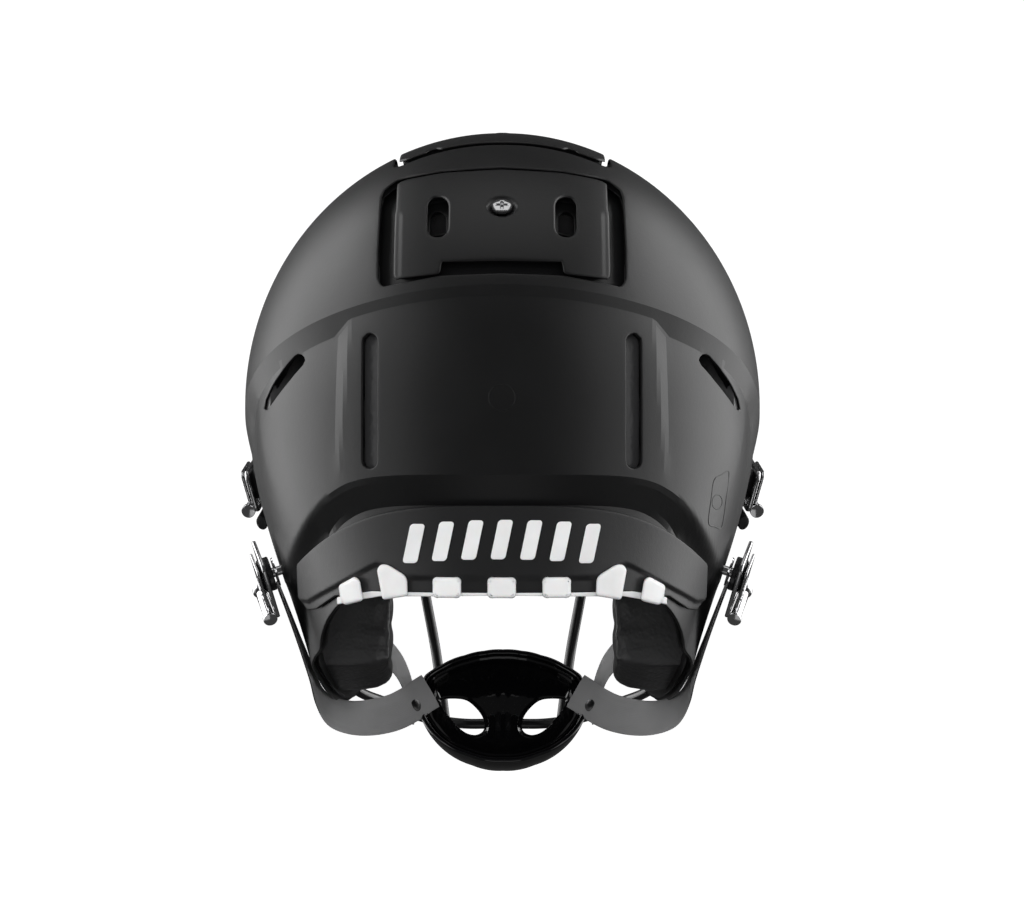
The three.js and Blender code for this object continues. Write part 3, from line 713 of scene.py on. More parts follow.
def shell_grid():
    """A sphere's turns and heights, drawn together along the ridge, the neck line and the facets."""
    bm = bmesh.new()
    bmesh.ops.create_uvsphere(bm, u_segments=360, v_segments=160, radius=1)
    ball = positions(bm)
    side = np.where(ball[:, 0] < 0, -1, 1)
    u = np.abs(np.arctan2(ball[:, 0], ball[:, 1])) / math.pi
    v = np.arccos(np.clip(ball[:, 2], -1, 1)) / math.pi

    def drop(z):
        return np.where(z > 0, np.arccos(np.clip(z / CROWN, 0, 1)), math.pi / 2 * (1 - z / FLOOR))

    turn = warp(u, COLUMNS, (0, 0.57, 0.66, math.pi / 2, math.pi))
    for _ in range(4):
        reach = np.abs(shell_point(turn, ridge(turn), 0)[:, 0])
        low = np.abs(shell_point(turn, np.full_like(turn, -40.0), 0)[:, 0])
        top = ridge(turn)
        step = top - band(reach, top, turn)
        neck = np.minimum(neck_line(low), step - 4)
        marks = (0, drop(top), drop(step), drop(neck), drop(np.maximum(neck - 14, -FLOOR + 1)), math.pi)
        shaped = warp(v, ROWS, marks)
        front = smooth((turn - 1.66) / 0.44)
        fall = shaped + (v * math.pi - shaped) * front
        z = np.where(fall < math.pi / 2, CROWN * np.cos(fall), -FLOOR * (fall / (math.pi / 2) - 1))
        near = 1 - smooth((z - 60) / 30)
        level = np.minimum(z, 90.0)

        def turn_at(x):
            wide = half_width(level) * taper(level)
            y = HALF_LENGTH * taper(level) * np.maximum(1 - (x / wide) ** POWER, 1e-6) ** (1 / POWER)
            return np.arctan2(x, y)

        inner = 0.57 + (turn_at(facet_in(level)) - 0.57) * near
        outer = 0.66 + (turn_at(np.full_like(level, FACET_OUT)) - 0.66) * near
        turn = warp(u, COLUMNS, (0, inner, outer, math.pi / 2, math.pi))
    move_to(bm, shell_point(side * turn, z, 0))
    return bm


def millimetres(name, description, default, low, high):
    return FloatProperty(name=name, description=f"{description}, mm", default=default, min=low, max=high)


def colour(name, description, default):
    return FloatVectorProperty(name=name, description=description, subtype="COLOR", default=default)


class HelmetSizes(bpy.types.PropertyGroup):
    """Sizes that a user would change, in millimetres."""

    wall: millimetres("Shell wall", "Thickness of the shell", 4.0, 2, 6)
    wire: millimetres("Wire radius", "Face mask wire with its coating", 2.75, 2, 4)
    strap: millimetres("Strap width", "Chin strap width", 19.0, 12, 25)
    bars: IntProperty(name="Bars", description="Slanted bars on the rear bumper", default=7, min=0, max=9)


class HelmetLook(bpy.types.PropertyGroup):
    """Colours and polish."""

    shell: colour("Shell", "Shell plastic", (0.0045, 0.0045, 0.0048))
    rubber: colour("Rubber", "Bumpers and clips", (0.009, 0.009, 0.0095))
    white: colour("White", "Neck pad and bars", (0.80, 0.80, 0.80))
    gloss: colour("Gloss", "Chin cup", (0.003, 0.003, 0.0035))
    wire: colour("Wire", "Face mask coating", (0.006, 0.006, 0.0065))
    chrome: colour("Chrome", "Buckles and screws", (0.82, 0.82, 0.83))
    padding: colour("Padding", "Liner vinyl", (0.03, 0.03, 0.031))
    webbing: colour("Webbing", "Chin straps", (0.22, 0.22, 0.223))
    shell_roughness: FloatProperty(
        name="Shell roughness", description="0 polished, 1 chalky", default=0.42, subtype="FACTOR"
    )


class HELMET_OT_shell(bpy.types.Operator):
    """The hard shell with its ridge, facets, vents, ear holes and the pans under the crown plates"""

    bl_idname = "helmet.shell"
    bl_label = "Shell"

    def execute(self, context):
        wall = context.scene.helmet_sizes.wall
        bm = shell_grid()
        carve(bm, lambda p: shell_keep(p) - 0.8)
        face_away(bm)
        crease(bm, 3.5)
        roll_rim(bm, 0.8, 0.9)
        piece(bm, "shell", "Shell plastic", "shell", ["outer_shell"], wall=wall, sharp=0)
        front = FRONT_POCKET

        def front_floor(p):
            return 5 - rounded_box(p[:, 0], p[:, 1] - front["y"], front["half_x"], front["half_y"], 7)

        def front_laid(x, y):
            lip = ramp((np.abs(x) - 49.4) / 1.2)
            return top_point(x, y, wall + 3 - (wall + 0.4) * lip)

        def rear_laid(x, z):
            return rear_point(x, z, wall + 2.2)

        rear_floor = within(mirrored_outline(REAR_POCKET), 5)
        self.pan("rear_pan", (-64, 50), (64, 120), rear_floor, rear_laid, 84.5)
        self.pan("front_pan", (-58, -68), (58, 60), front_floor, front_laid, -4)
        return {"FINISHED"}

    def pan(self, name, low, high, keep, project, centre):
        """The floor of a crown pocket, with the vents through it."""
        def less_vents(p):
            vent = rounded_box(np.abs(p[:, 0]) - SLOTS["x"], p[:, 1] - centre, 3.6, 9.5, 3.5)
            return np.minimum(keep(p), vent)

        bm = sheet(low, high, 2.0, less_vents, project, (0.8, 0.6))
        piece(bm, name, "Shell plastic", "shell", wall=2.8)


def sheet(low, high, step, keep, project, rim=(1.0, 0.8)):
    """A curved sheet: a flat grid cut to an outline, laid on the shell's form, with its rim turned down."""
    bm = grid(low, high, step)
    carve(bm, lambda p: keep(p) - rim[0])
    flat = positions(bm)
    move_to(bm, project(flat[:, 0], flat[:, 1]))
    face_away(bm)
    roll_rim(bm, *rim)
    return bm


def block(outline, low, high, bevel, project, step=3.0):
    """A solid bevelled outline laid on the shell's form, its heights measured outwards from the surface."""
    bm = slab(outline, low, high, bevel)
    for axis, normal in ((0, (1, 0, 0)), (1, (0, 1, 0))):
        reach = [v.co[axis] for v in bm.verts]
        for at in np.arange(math.ceil(min(reach) / step) * step, max(reach), step):
            whole = bm.verts[:] + bm.edges[:] + bm.faces[:]
            bmesh.ops.bisect_plane(bm, geom=whole, plane_co=Vector(normal) * float(at), plane_no=normal)
    flat = positions(bm)
    move_to(bm, project(flat[:, 0], flat[:, 1], -flat[:, 2]))
    return bm


def cushion(low, high, keep, project, seams=None, edge=11.0, step=2.4):
    """A stuffed pad: a sheet and its copy, the copy swelling inwards away from its edge and its seams."""
    bm = grid(low, high, step)
    carve(bm, keep)
    thicken(bm, 1)
    flat = positions(bm)
    x, y, face = flat.T
    depth = ramp(keep(flat) / edge)
    if seams:
        depth = np.minimum(depth, 0.55 + 0.45 * ramp(line_distance(x, y, seams) / 6))
    swell = 0.45 + 0.55 * np.sqrt(1 - (1 - depth) ** 2)
    folds = 0.012 * np.sin(x * 0.31 + 2 * np.sin(y * 0.17)) + 0.01 * np.sin(y * 0.43 + x * 0.2)
    move_to(bm, project(x, y, face * (swell + folds * swell)))
    bmesh.ops.recalc_face_normals(bm, faces=bm.faces)
    return bm


def ring_slab(outer, inner, low, high, bevel=0.5):
    """A flat frame between two outlines with as many points each."""
    bm = bmesh.new()
    loops = []
    for outline in (outer, inner):
        verts = [bm.verts.new((x, y, low)) for x, y in outline]
        loops += [bm.edges.new((a, b)) for a, b in zip(verts, verts[1:] + verts[:1])]
    bmesh.ops.bridge_loops(bm, edges=loops)
    thicken(bm, high - low)
    bmesh.ops.recalc_face_normals(bm, faces=bm.faces)
    bevelled(bm, [e for e in bm.edges if len(e.link_faces) == 2 and e.calc_face_angle() > 1.2], bevel)
    return bm


def rod(radius, half, x=0.0, y=0.0, z=0.0, sides=24, bevel=0.3):
    """A short round bar along X."""
    bm = bmesh.new()
    bmesh.ops.create_cone(bm, cap_ends=True, segments=sides, radius1=radius, radius2=radius, depth=2 * half)
    bevelled(bm, end_edges(bm), bevel, 2)
    turn = Matrix.Translation((x, y, z)) @ Matrix.Rotation(math.pi / 2, 4, "Y")
    bmesh.ops.transform(bm, matrix=turn, verts=bm.verts)
    return bm


def driven_head(radius, low, high, arms=2, reach=0.62, thick=0.14):
    """A screw's domed head with a cross recess, or with a single slot."""
    bm = grid((-radius, -radius), (radius, radius), radius / 26)
    carve(bm, lambda p: radius - np.hypot(p[:, 0], p[:, 1]))
    flat = positions(bm)
    x, y = np.abs(flat[:, 0]) / radius, np.abs(flat[:, 1]) / radius
    slots = [ramp((reach - x) / 0.12) * ramp((thick - y) / 0.06 + 0.5)]
    if arms == 2:
        slots.append(ramp((reach - y) / 0.12) * ramp((thick - x) / 0.06 + 0.5))
    dome = high - (high - low) * 0.35 * (x * x + y * y) ** 1.5
    flat[:, 2] = dome - 0.45 * radius * np.maximum.reduce(slots)
    move_to(bm, flat)
    rim = [e for e in bm.edges if e.is_boundary]
    down = bmesh.ops.extrude_edge_only(bm, edges=rim)
    for g in down["geom"]:
        if isinstance(g, bmesh.types.BMVert):
            g.co.z = low
    bmesh.ops.recalc_face_normals(bm, faces=bm.faces)
    return bm


REAR_PLATE = [
    (0, 64.6), (27.6, 64.2), (28.4, 58.6), (45, 56.9), (50, 56.6), (50.3, 60), (50.3, 88.4),
    (49.8, 90.4), (49.8, 104.4), (45, 106.1), (28, 108.8), (0, 110.2),
]
FRONT_PLATE = [
    (0, -57), (40, -55), (47, -49), (47.5, -8), (45, -5), (45, 8), (47.5, 11), (47.5, 42),
    (44, 47), (35, 47.6), (33.5, 44.8), (30, 44.8), (28.5, 48.6), (0, 50),
]
SLOTS = {"x": 29.8, "half_x": 4.7, "half_y": 9.5}


class HELMET_OT_marks(bpy.types.Operator):
    """The moulded ring at the middle of the back and the plain engraved label at its right"""

    bl_idname = "helmet.marks"
    bl_label = "Moulded marks"

    def execute(self, context):
        self.line("moulded_ring", self.oval(0, 2, 6, 6, 49), 0.28)
        label = [(-99, -35), (-107.4, -31), (-104, -59), (-96.4, -56.5), (-99, -35)]
        outline = []
        for a, b in zip(label, label[1:]):
            outline += [(a[0] + (b[0] - a[0]) * t, a[1] + (b[1] - a[1]) * t) for t in (0.12, 0.5, 0.88)]
        self.line("engraved_label", outline + outline[:1], 0.3)
        self.line("engraved_dial", self.oval(-101, -46, 2.6, 3.4, 33), 0.26)
        return {"FINISHED"}

    def oval(self, x, z, wide, tall, count):
        return [(x + wide * math.cos(a), z + tall * math.sin(a)) for a in np.linspace(0, math.tau, count)]

    def line(self, name, points, radius):
        x, z = np.array(points).T
        bm = tube([tuple(p) for p in rear_point(x, z, 0.12)], radius, 4 * len(points), 8)
        piece(bm, name, "Plate plastic", "shell")


class HELMET_OT_plates(bpy.types.Operator):
    """The two floating crown plates, each with its slots, screw and cushion"""

    bl_idname = "helmet.plates"
    bl_label = "Crown plates"

    def execute(self, context):
        self.plate("rear", REAR_PLATE, 86.2, 90.6, rear_point, (-52, 55), (52, 114), 0.9)
        self.plate("front", FRONT_PLATE, -4, -4, top_point, (-53, -60), (53, 53), 0.5)
        self.screw("rear", (0, 109.3, 91), (0, 0.68, 0.733))
        self.screw("front", (0, -4, 133), (0, 0, 1))
        self.cushion("rear", REAR_PLATE, rear_point, (-52, 55), (52, 114))
        self.cushion("front", FRONT_PLATE, top_point, (-50, -60), (50, 53))
        return {"FINISHED"}

    def plate(self, name, half, slot_at, screw_at, project, low, high, proud):
        def vents(x, y):
            return rounded_box(np.abs(x) - SLOTS["x"], y - slot_at, SLOTS["half_x"], SLOTS["half_y"], 4.4)

        def keep(p):
            slots = vents(p[:, 0], p[:, 1])
            hole = np.hypot(p[:, 0], p[:, 1] - screw_at) - 2.6
            wide = 1.05 if name == "front" else 1
            edge = inside_distance(p[:, 0] / wide, p[:, 1], mirrored_outline(half))
            return np.minimum(np.minimum(edge, slots), hole)

        def laid(x, y):
            tilt = 0.7 if name == "rear" else 1
            seat = ramp((1 - np.hypot(x, (y - screw_at) / tilt) / 7.2) / 0.33)
            dish = 0.8 * ramp(1 - vents(x, y) / 1.3)
            flange = 0.45 * ramp((np.abs(x) - 46.6) / 0.6) * ramp((88.5 - y) / 1.2) * tilt
            flange = flange * (name == "rear")
            return project(x, y, -proud + 2.4 * seat + dish + flange)

        bm = sheet(low, high, 0.9, keep, laid, (1.1, 1.0))
        body = f"crown_plate_{name}"
        piece(bm, f"plate_{name}", "Plate plastic", body, [body], wall=2.8)

    def screw(self, name, at, out):
        up = (0, -out[2], out[1])
        bm = driven_head(4.8, -0.4, 1.5)
        joined(bm, turned([(0, -9), (1.8, -9), (1.8, -1.7), (0, -1.7)], 20))
        place = placed(at, out, up)
        node = f"plate_screw_{name}"
        piece(bm, f"screw_{name}", "Chrome", "shell", [node], matrix=place)

    def cushion(self, name, half, project, low, high):
        def keep(p):
            inside = inside_distance(p[:, 0], p[:, 1], mirrored_outline(half))
            return np.minimum(inside - 3, 10 - inside)

        bm = cushion(low, high, keep, lambda x, y, t: project(x, y, 6.0 - 1.6 * t), edge=3)
        node = f"plate_cushion_{name}"
        pad = piece(bm, f"cushion_{name}", "Bumper rubber", "shell", [node])


def bumper_top(x):
    return -47 - 37 * (np.abs(x) / 105) ** 3.5


STEP_LINE = [
    (0, -79.6), (44, -79.6), (46.5, -78.6), (53.5, -74.2), (57, -73.6), (60, -74.8), (85.4, -89), (92, -93),
]
NEAR_BLOCK = [
    (57.4, -76.6), (55.6, -74.2), (52.3, -74.2), (44.6, -78.8), (43.2, -80.8), (43, -88.5), (54.8, -90.6),
]
FAR_BLOCK = [(76, -84.6), (67.8, -80), (65.4, -81.9), (64, -91.2), (73, -93.8), (75, -91.4)]


class HELMET_OT_bumpers(bpy.types.Operator):
    """The rear bumper with its slanted bars, the white neck pad and the brow bumper with its flat"""

    bl_idname = "helmet.bumpers"
    bl_label = "Bumpers"

    def execute(self, context):
        self.rear()
        self.bars(context.scene.helmet_sizes.bars)
        self.neck_pad()
        self.brow()
        return {"FINISHED"}

    def rear(self):
        bottom = [(98.5, -93), (93, -98), (88, -97), (78, -90), (60, -87)]
        bottom += [(-x, z) for x, z in reversed(bottom)]
        top = [(x, bumper_top(x)) for x in (*range(-95, 96, 5), 98)]
        top.insert(0, (-98, bumper_top(98)))
        outline = top + bottom

        def laid(x, z):
            line = np.interp(np.abs(x), [s[0] for s in STEP_LINE], [s[1] for s in STEP_LINE])
            return rear_point(x, z, -4 + 1.1 * ramp((line - z) / 1.1))

        bm = sheet((-101, -101), (101, -45), 1.0, within(outline), laid, (0.7, 0.8))
        piece(bm, "bumper_rear", "Bumper rubber", "shell", ["rear_bumper"], wall=3.4)

    def bars(self, count):
        bm = bmesh.new()
        for i in range(count):
            x = 13.4 * (i - (count - 1) / 2)
            bar = rounded(3.4, 9, 1.6, 0, 0)
            outline = [(x + px - 0.21 * pz, pz - 62.5 - 0.0012 * x * x) for px, pz in bar]
            joined(bm, block(outline, 3.4, 4.5, 0.25, rear_point))
        piece(bm, "bumper_bars", "White plastic", "shell")

    def neck_pad(self):
        white = bmesh.new()
        for x in (0, -25, 25):
            joined(white, block(rounded(6.5, 4.7, 2.2, x, -84.4), 0.2, 5.9, 1.4, rear_point))
        for half in (NEAR_BLOCK, FAR_BLOCK):
            for side in (1, -1):
                outline = [(side * x, z) for x, z in half]
                joined(white, block(outline, 0.2, 5.9, 1.4, rear_point))
        rail = [(0, -84.4), (44, -84.6), (58, -85.8), (66, -87.4), (77, -90.4)]
        rail += [(77, -93.8), (66, -91), (56, -89), (0, -88)]
        outline = rail + [(-x, z) for x, z in reversed(rail[1:-1])]
        joined(white, block(outline, -11, 2.6, 0.5, rear_point))
        piece(white, "pad_neck", "White plastic", "shell", ["neck_pad"])

    def brow(self):
        def laid(x, z, inset):
            point = front_point(x, z, inset)
            flat = (np.abs(x) < 28.2) & (np.abs(z - 46.6) < 5.4) & (inset < -1)
            point[:, 1] = np.where(flat, -148.5, point[:, 1])
            return point

        bm = block(rounded(64, 6.2, 3.4, 0, 46.6), 0.4, 4, 1.0, laid, 1.4)
        piece(bm, "bumper_brow", "Bumper rubber", "shell", ["front_bumper"])


TEMPLE = [(34, -30), (66, -14), (66, 40), (30, 66), (-30, 66), (-60, 40), (-66, -8), (-20, -30)]
JAW = [(-96, -96), (-92, -130), (-76, -142), (-52, -142), (-28, -128), (-30, -88), (-40, -66), (-84, -60)]
# Each pad's grid corners; its half sizes, middle and corner radius; how it is laid; its depths; its seam.
PADS = {
    "crown": ((-48, -60), (48, 84), (46, 70, 0, 12, 20), top_point, (9.7, 17.3), [(-46, 12), (46, 12)]),
    "front": ((-68, 40), (68, 68), (66, 13, 0, 54, 8), front_point, (4.5, 19.5), [(0, 40), (0, 68)]),
    "back": ((-76, -33), (76, 37), (74, 33, 0, 2, 10), rear_point, (4.5, 25.5), [(0, -32), (0, 36)]),
    "neck": ((-54, -76), (54, -32), (52, 20, 0, -54, 10), rear_point, (4.5, 22.5), [(0, -75), (0, -33)]),
}


class HELMET_OT_liner(bpy.types.Operator):
    """The pads inside the shell, at the crown, brow, back, neck, temples and jaw"""

    bl_idname = "helmet.liner"
    bl_label = "Liner"

    def execute(self, context):
        for name, (low, high, box, project, (top, deep), seam) in PADS.items():
            half_x, half_y, x, y, radius = box

            def keep(p):
                return -rounded_box(p[:, 0] - x, p[:, 1] - y, half_x, half_y, radius)

            self.pad(f"{name}_liner", low, high, keep, lambda a, b, t: project(a, b, top + deep * t), seam)
        for name, side in SIDES:
            self.temple(name, side)
            self.jaw(name, side)
        return {"FINISHED"}

    def pad(self, node, low, high, keep, project, seams):
        bm = cushion(low, high, keep, project, seams)
        made = piece(bm, f"{node}_pad", "Pad vinyl", "shell", [node])

    def temple(self, name, side):
        def laid(y, z, t):
            return side_point(y, z, 4.5 + 21.5 * t, side)

        self.pad(f"side_liner_{name}", (-68, -32), (68, 68), within(TEMPLE), laid, [(0, -30), (0, 66)])

    def jaw(self, name, side):
        def laid(y, z, t):
            point = side_point(y, z, 4.5, side)
            x = np.abs(point[:, 0])
            ribs = 1.1 * np.abs(np.sin((z + 60) * math.pi / 16.5)) ** 0.5 - 1.1
            point[:, 0] = side * (x + (56 - x) * ramp(t) + np.where(t > 0.2, -ribs, 0))
            return point

        node = f"jaw_pad_{name}"
        bm = cushion((-98, -144), (-26, -58), within(JAW), laid, [(-60, -142), (-58, -60)], edge=8, step=1.6)
        made = piece(bm, f"{node}_pad", "Pad vinyl", "shell", [node])


# Each cross bar's front, how far it runs back, its half width, its height and how far its ends rise.
CROSS_BARS = {
    "nose": (-186, 84, 101, -30, 6), "mouth": (-192, 80, 97, -66, 0), "lip": (-195, 80, 94, -94, -2),
}
BROW_WIRE = [
    (0, -140, 60), (18, -139.4, 60), (31, -136, 60), (37, -135, 60), (53, -135, 60),
    (62, -132, 58.5), (78, -121, 55), (94, -104, 47), (105, -91, 32), (110, -90.5, 10),
    (107.8, -95, -12), (104.2, -97.4, -32), (99.8, -98.3, -48),
]
CHIN_WIRE = [
    (0, -197, -168), (22, -195.5, -168), (43, -186, -164), (61, -167, -155.5), (79, -138, -145),
    (90, -120, -124), (94, -110, -98), (97, -102.5, -76), (98.8, -99, -55),
]
UPRIGHTS = {
    "centre": [(52, -26, "nose"), (46.5, -62, "mouth"), (42.3, -94, "lip")],
    "flank": [(86, -22, "nose"), (83, -62, "mouth"), (78, -99, "lip")],
}


def behind(bar, x, wire):
    """Where a wire passes just behind a cross bar."""
    front, back, reach = CROSS_BARS[bar][:3]
    slope = 3 * back * x * x / reach**3
    return front + back * (x / reach) ** 3 + (2 * wire + 0.8) * math.hypot(1, slope)


class HELMET_OT_mask(bpy.types.Operator):
    """The coated wire face mask with the clips at its sides and top"""

    bl_idname = "helmet.mask"
    bl_label = "Face mask"

    def execute(self, context):
        wire = context.scene.helmet_sizes.wire
        for name, half in (("brow", BROW_WIRE), ("chin", CHIN_WIRE)):
            points = [(-x, y, z) for x, y, z in reversed(half[1:])] + half
            self.bar(f"mask_{name}_bar", points, wire, 150)
        for name, (front, back, reach, z, fall) in CROSS_BARS.items():
            shares = [i / 10 for i in range(-10, 11)]
            points = [(reach * s, front + back * abs(s) ** 3, z + fall * s * s) for s in shares]
            self.bar(f"mask_{name}_bar", points, wire, 90)
        for name, side in SIDES:
            for kind, stops in UPRIGHTS.items():
                points = [(side * x, behind(bar, x, wire), z) for x, z, bar in stops]
                if kind == "centre":
                    points += [(side * 36, -188.5, -130), (side * 30.6, -186, -170)]
                self.bar(f"mask_{kind}_bar_{name}", points, wire, 50)
            self.side_clip(name, side)
            self.top_clip(name, side)
        return {"FINISHED"}

    def bar(self, node, points, wire, samples):
        bm = tube(points, wire, samples)
        piece(bm, f"{node}_wire", "Coated wire", "facemask", [node])

    def side_clip(self, name, side):
        place = placed(CLIP["at"], CLIP["out"], CLIP["up"], side)
        bm = slab(rounded(14, 15, 5, -2 * side, 0), 0.8, 10.4, 1.8, 4)
        joined(bm, ring_slab(rounded(8.4, 8.4, 8.3), rounded(6.5, 6.5, 6.4), 9.6, 11.2, 0.5))
        for step in (-11, 11):
            joined(bm, rod(1.2, 9, -2 * side, step, 10.2, 16))
        node = f"side_clip_{name}"
        piece(bm, f"clip_{name}", "Bumper rubber", "facemask", [node], matrix=place)
        screw = driven_head(5.8, 8.4, 12.0, 1, 0.8, 0.13)
        node = f"release_screw_{name}"
        piece(screw, f"release_{name}", "Chrome", node, [node], matrix=place)

    def top_clip(self, name, side):
        bm = block(rounded(6, 15, 4, side * HINGE["x"], 72), 0.5, 5, 1.2, front_point, 2)
        loop = ring_slab(rounded(7, 7, 6.9), rounded(3.2, 3.2, 3.1), -6, 6, 0.9)
        at = Matrix.Translation((side * HINGE["x"], HINGE["y"], HINGE["z"]))
        joined(bm, loop, at @ Matrix.Rotation(math.pi / 2, 4, "Y"))
        piece(bm, f"top_clip_{name}", "Bumper rubber", "shell", [f"mask_clip_top_{name}"])
        spot = front_point(np.array([45.0]), np.array([79.0]), 0)[0]
        place = placed(spot, (0.29, -0.69, 0.66), (0, 0.69, 0.72), side)
        screw = driven_head(4.3, 5.0, 8.0)
        joined(screw, turned([(0, 1), (2, 1), (2, 5), (0, 5)], 16))
        node = f"mask_clip_screw_{name}"
        piece(screw, f"top_clip_screw_{name}", "Chrome", "shell", [node], matrix=place)


CUP = {"at": Vector((0, -112, -152)), "deep": 35.5}
CUP_UP = Vector((0, -0.5592, 0.829))
CUP_OUT = Vector((0, 0.829, 0.5592))
# How far the cup's rim reaches from its middle, at angles up from its level line.
CUP_TURNS = (-90, -60, -30, -5, 5, 13, 21, 34, 54, 72, 90)
CUP_REACH = (35, 36.2, 40.3, 43.7, 43.4, 43.2, 42.9, 38.5, 33.8, 31.6, 30.9)
EYE = [
    (34.4, -151.8), (30.8, -150.2), (20.3, -150.7), (15.5, -153.9), (10.6, -159.6), (8.6, -165.2),
    (9.8, -170), (14.7, -171.8), (19.5, -170.9), (25.2, -166.8), (30.8, -159.6), (34.4, -154.7),
]
RIVET = [(0, -7), (3.6, -7), (3.8, -6), (1.8, -5.8), (1.8, 1.6), (3.9, 1.6), (3.8, 2.5), (2.8, 3.2), (0, 3.5)]


def cup_point(ball, inset):
    """Maps the lower half of a ball to the chin cup's bowl: a shield with a ridge down its middle."""
    x, y, z = ball.T
    turn = np.degrees(np.arctan2(y, np.abs(x)))
    reach = np.interp(turn, CUP_TURNS, CUP_REACH) - inset
    u, v = reach * x, reach * y
    ridge_line = 1.6 * np.exp(-((u / 3.2) ** 2)) * ramp(-z / 0.4) * (inset > 1)
    w = (CUP["deep"] - inset) * z + ridge_line
    at, up, out = (np.array(a) for a in (CUP["at"], CUP_UP, CUP_OUT))
    return at + u[:, None] * np.array((-1, 0, 0)) + v[:, None] * up + w[:, None] * out


class HELMET_OT_cup(bpy.types.Operator):
    """The glossy chin cup with its liner, two eye-shaped vents and the rivets of the straps"""

    bl_idname = "helmet.cup"
    bl_label = "Chin cup"

    def execute(self, context):
        piece(self.bowl(0, 0), "cup", "Gloss plastic", "chin_cup", ["chin_cup"], wall=2.4)
        bm = self.bowl(3.0, 1.2)
        liner = piece(bm, "cup_lining", "Gloss plastic", "chin_cup", ["cup_liner"], wall=1.6)
        rim = rounded(1, 1, 0.999, steps=30)
        ball = np.array([(x, y, 0.02) for x, y in rim])
        bead = tube([tuple(p) for p in cup_point(ball, 0.6)], 1.5, 240, 12)
        piece(bead, "cup_rim", "Gloss plastic", "chin_cup")
        for name, side in SIDES:
            place = placed((46.6, -106.5, -153.6), (-0.5, 0.82, 0.2), (0, 0, 1), side)
            node = f"strap_rivet_{name}"
            piece(turned(RIVET), f"rivet_{name}", "Coated wire", "chin_cup", [node], matrix=place)
        return {"FINISHED"}

    def bowl(self, inset, grow):
        bm = bmesh.new()
        bmesh.ops.create_uvsphere(bm, u_segments=160, v_segments=120, radius=1)
        upper = [f for f in bm.faces if f.calc_center_median().z > 0]
        bmesh.ops.delete(bm, geom=upper, context="FACES")
        drop_loose(bm)
        move_to(bm, cup_point(positions(bm), inset))

        def keep(p):
            return -inside_distance(np.abs(p[:, 0]), p[:, 2], softened(EYE)) - grow

        carve(bm, keep)
        face_away(bm, CUP["at"])
        roll_rim(bm, 0.9, 0.5, CUP["at"])
        return bm


def on_side(y, z, lift):
    """A strap's stop on the shell's left side, with the way the surface looks there."""
    def at(py, pz):
        return Vector(side_point(np.array([float(py)]), np.array([float(pz)]), 0, 1)[0])

    across = at(y + 0.5, z) - at(y - 0.5, z)
    rise = at(y, z + 0.5) - at(y, z - 0.5)
    out = across.cross(rise).normalized()
    return tuple(at(y, z) + out * lift), tuple(out)


# Where each strap lies on the shell's side, as y, height and lift; then its free stops and how they face.
ON_SHELL = {
    "high": [(-49.5, -46, 1.7), (-54, -60, 1.7), (-61, -77, 1.7), (-72, -95, 2.2), (-88, -109, 3.4)],
    "low": [
        (20.5, -88.5, 1.7), (16, -97, 1.3), (8, -107, 1), (-3, -118, 1), (-16, -129, 1.2), (-31, -140.5, 2.2),
    ],
}
FREE = {
    "high": [
        ((78, -109, -116.5), (0.88, -0.4, -0.2)), ((66, -117, -122), (0.82, -0.5, -0.25)),
        ((56, -119, -131), (0.86, -0.42, -0.25)), ((49.8, -118.9, -143), (0.95, -0.25, -0.14)),
        ((48.2, -118.4, -155.6), (0.97, -0.2, -0.14)), ((48.8, -117.6, -163), (0.97, -0.2, -0.14)),
    ],
    "low": [
        ((88, -46, -151), (0.86, -0.45, -0.35)), ((79, -60, -156), (0.74, -0.62, -0.42)),
        ((68.5, -76, -157.5), (0.7, -0.66, -0.4)), ((57, -91, -156), (0.62, -0.75, -0.3)),
        ((48.6, -102.5, -152.6), (0.54, -0.8, -0.24)), ((42.5, -108, -148.6), (0.5, -0.84, -0.2)),
        ((37.6, -110.5, -145.6), (0.5, -0.84, -0.2)),
    ],
}


class HELMET_OT_straps(bpy.types.Operator):
    """The four chin straps, from their buckles round the jaw flaps to the cup"""

    bl_idname = "helmet.straps"
    bl_label = "Chin straps"

    def execute(self, context):
        for name, side in SIDES:
            for place, middle in (("high", 0.42), ("low", 0.48)):
                stops = [on_side(*stop) for stop in ON_SHELL[place]] + FREE[place]
                self.strap(place, stops, name, side, middle)
        return {"FINISHED"}

    def strap(self, place, stops, name, side, middle):
        width = bpy.context.scene.helmet_sizes.strap
        stops = [((side * a[0], a[1], a[2]), (side * b[0], b[1], b[2])) for a, b in stops]
        node = f"strap_{place}_{name}"
        path = [point * MM for point in curve_through([s[0] for s in stops], 20)]
        upper = piece(ribbon(stops, width, 0, middle), f"{node}_upper", "Webbing", None, [node])
        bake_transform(upper)
        lower = piece(ribbon(stops, width, middle, 1), f"{node}_lower", "Webbing", None)
        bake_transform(lower)


STUD = [
    (0, -10.6), (5, -10.6), (5, -9.2), (2.3, -9), (2.3, 0.5), (7.2, 0.6), (6.8, 1.6), (2.4, 1.8), (2.4, 3.4),
    (3.4, 4.4), (3.4, 5.6), (2.4, 6.5), (0, 6.6),
]
CAP = [
    (0, 7.6), (4.2, 7.6), (4.2, 2.9), (4.6, 2.7), (8.0, 2.7), (8.4, 3.1), (8.4, 7.4), (7.8, 8.4),
    (6.6, 9), (0, 9.2),
]
# Each buckle ring's middle, up the strap from the stud, and its half length.
RINGS = {"high": (-1.5, 11), "low": (-2.5, 16.5)}


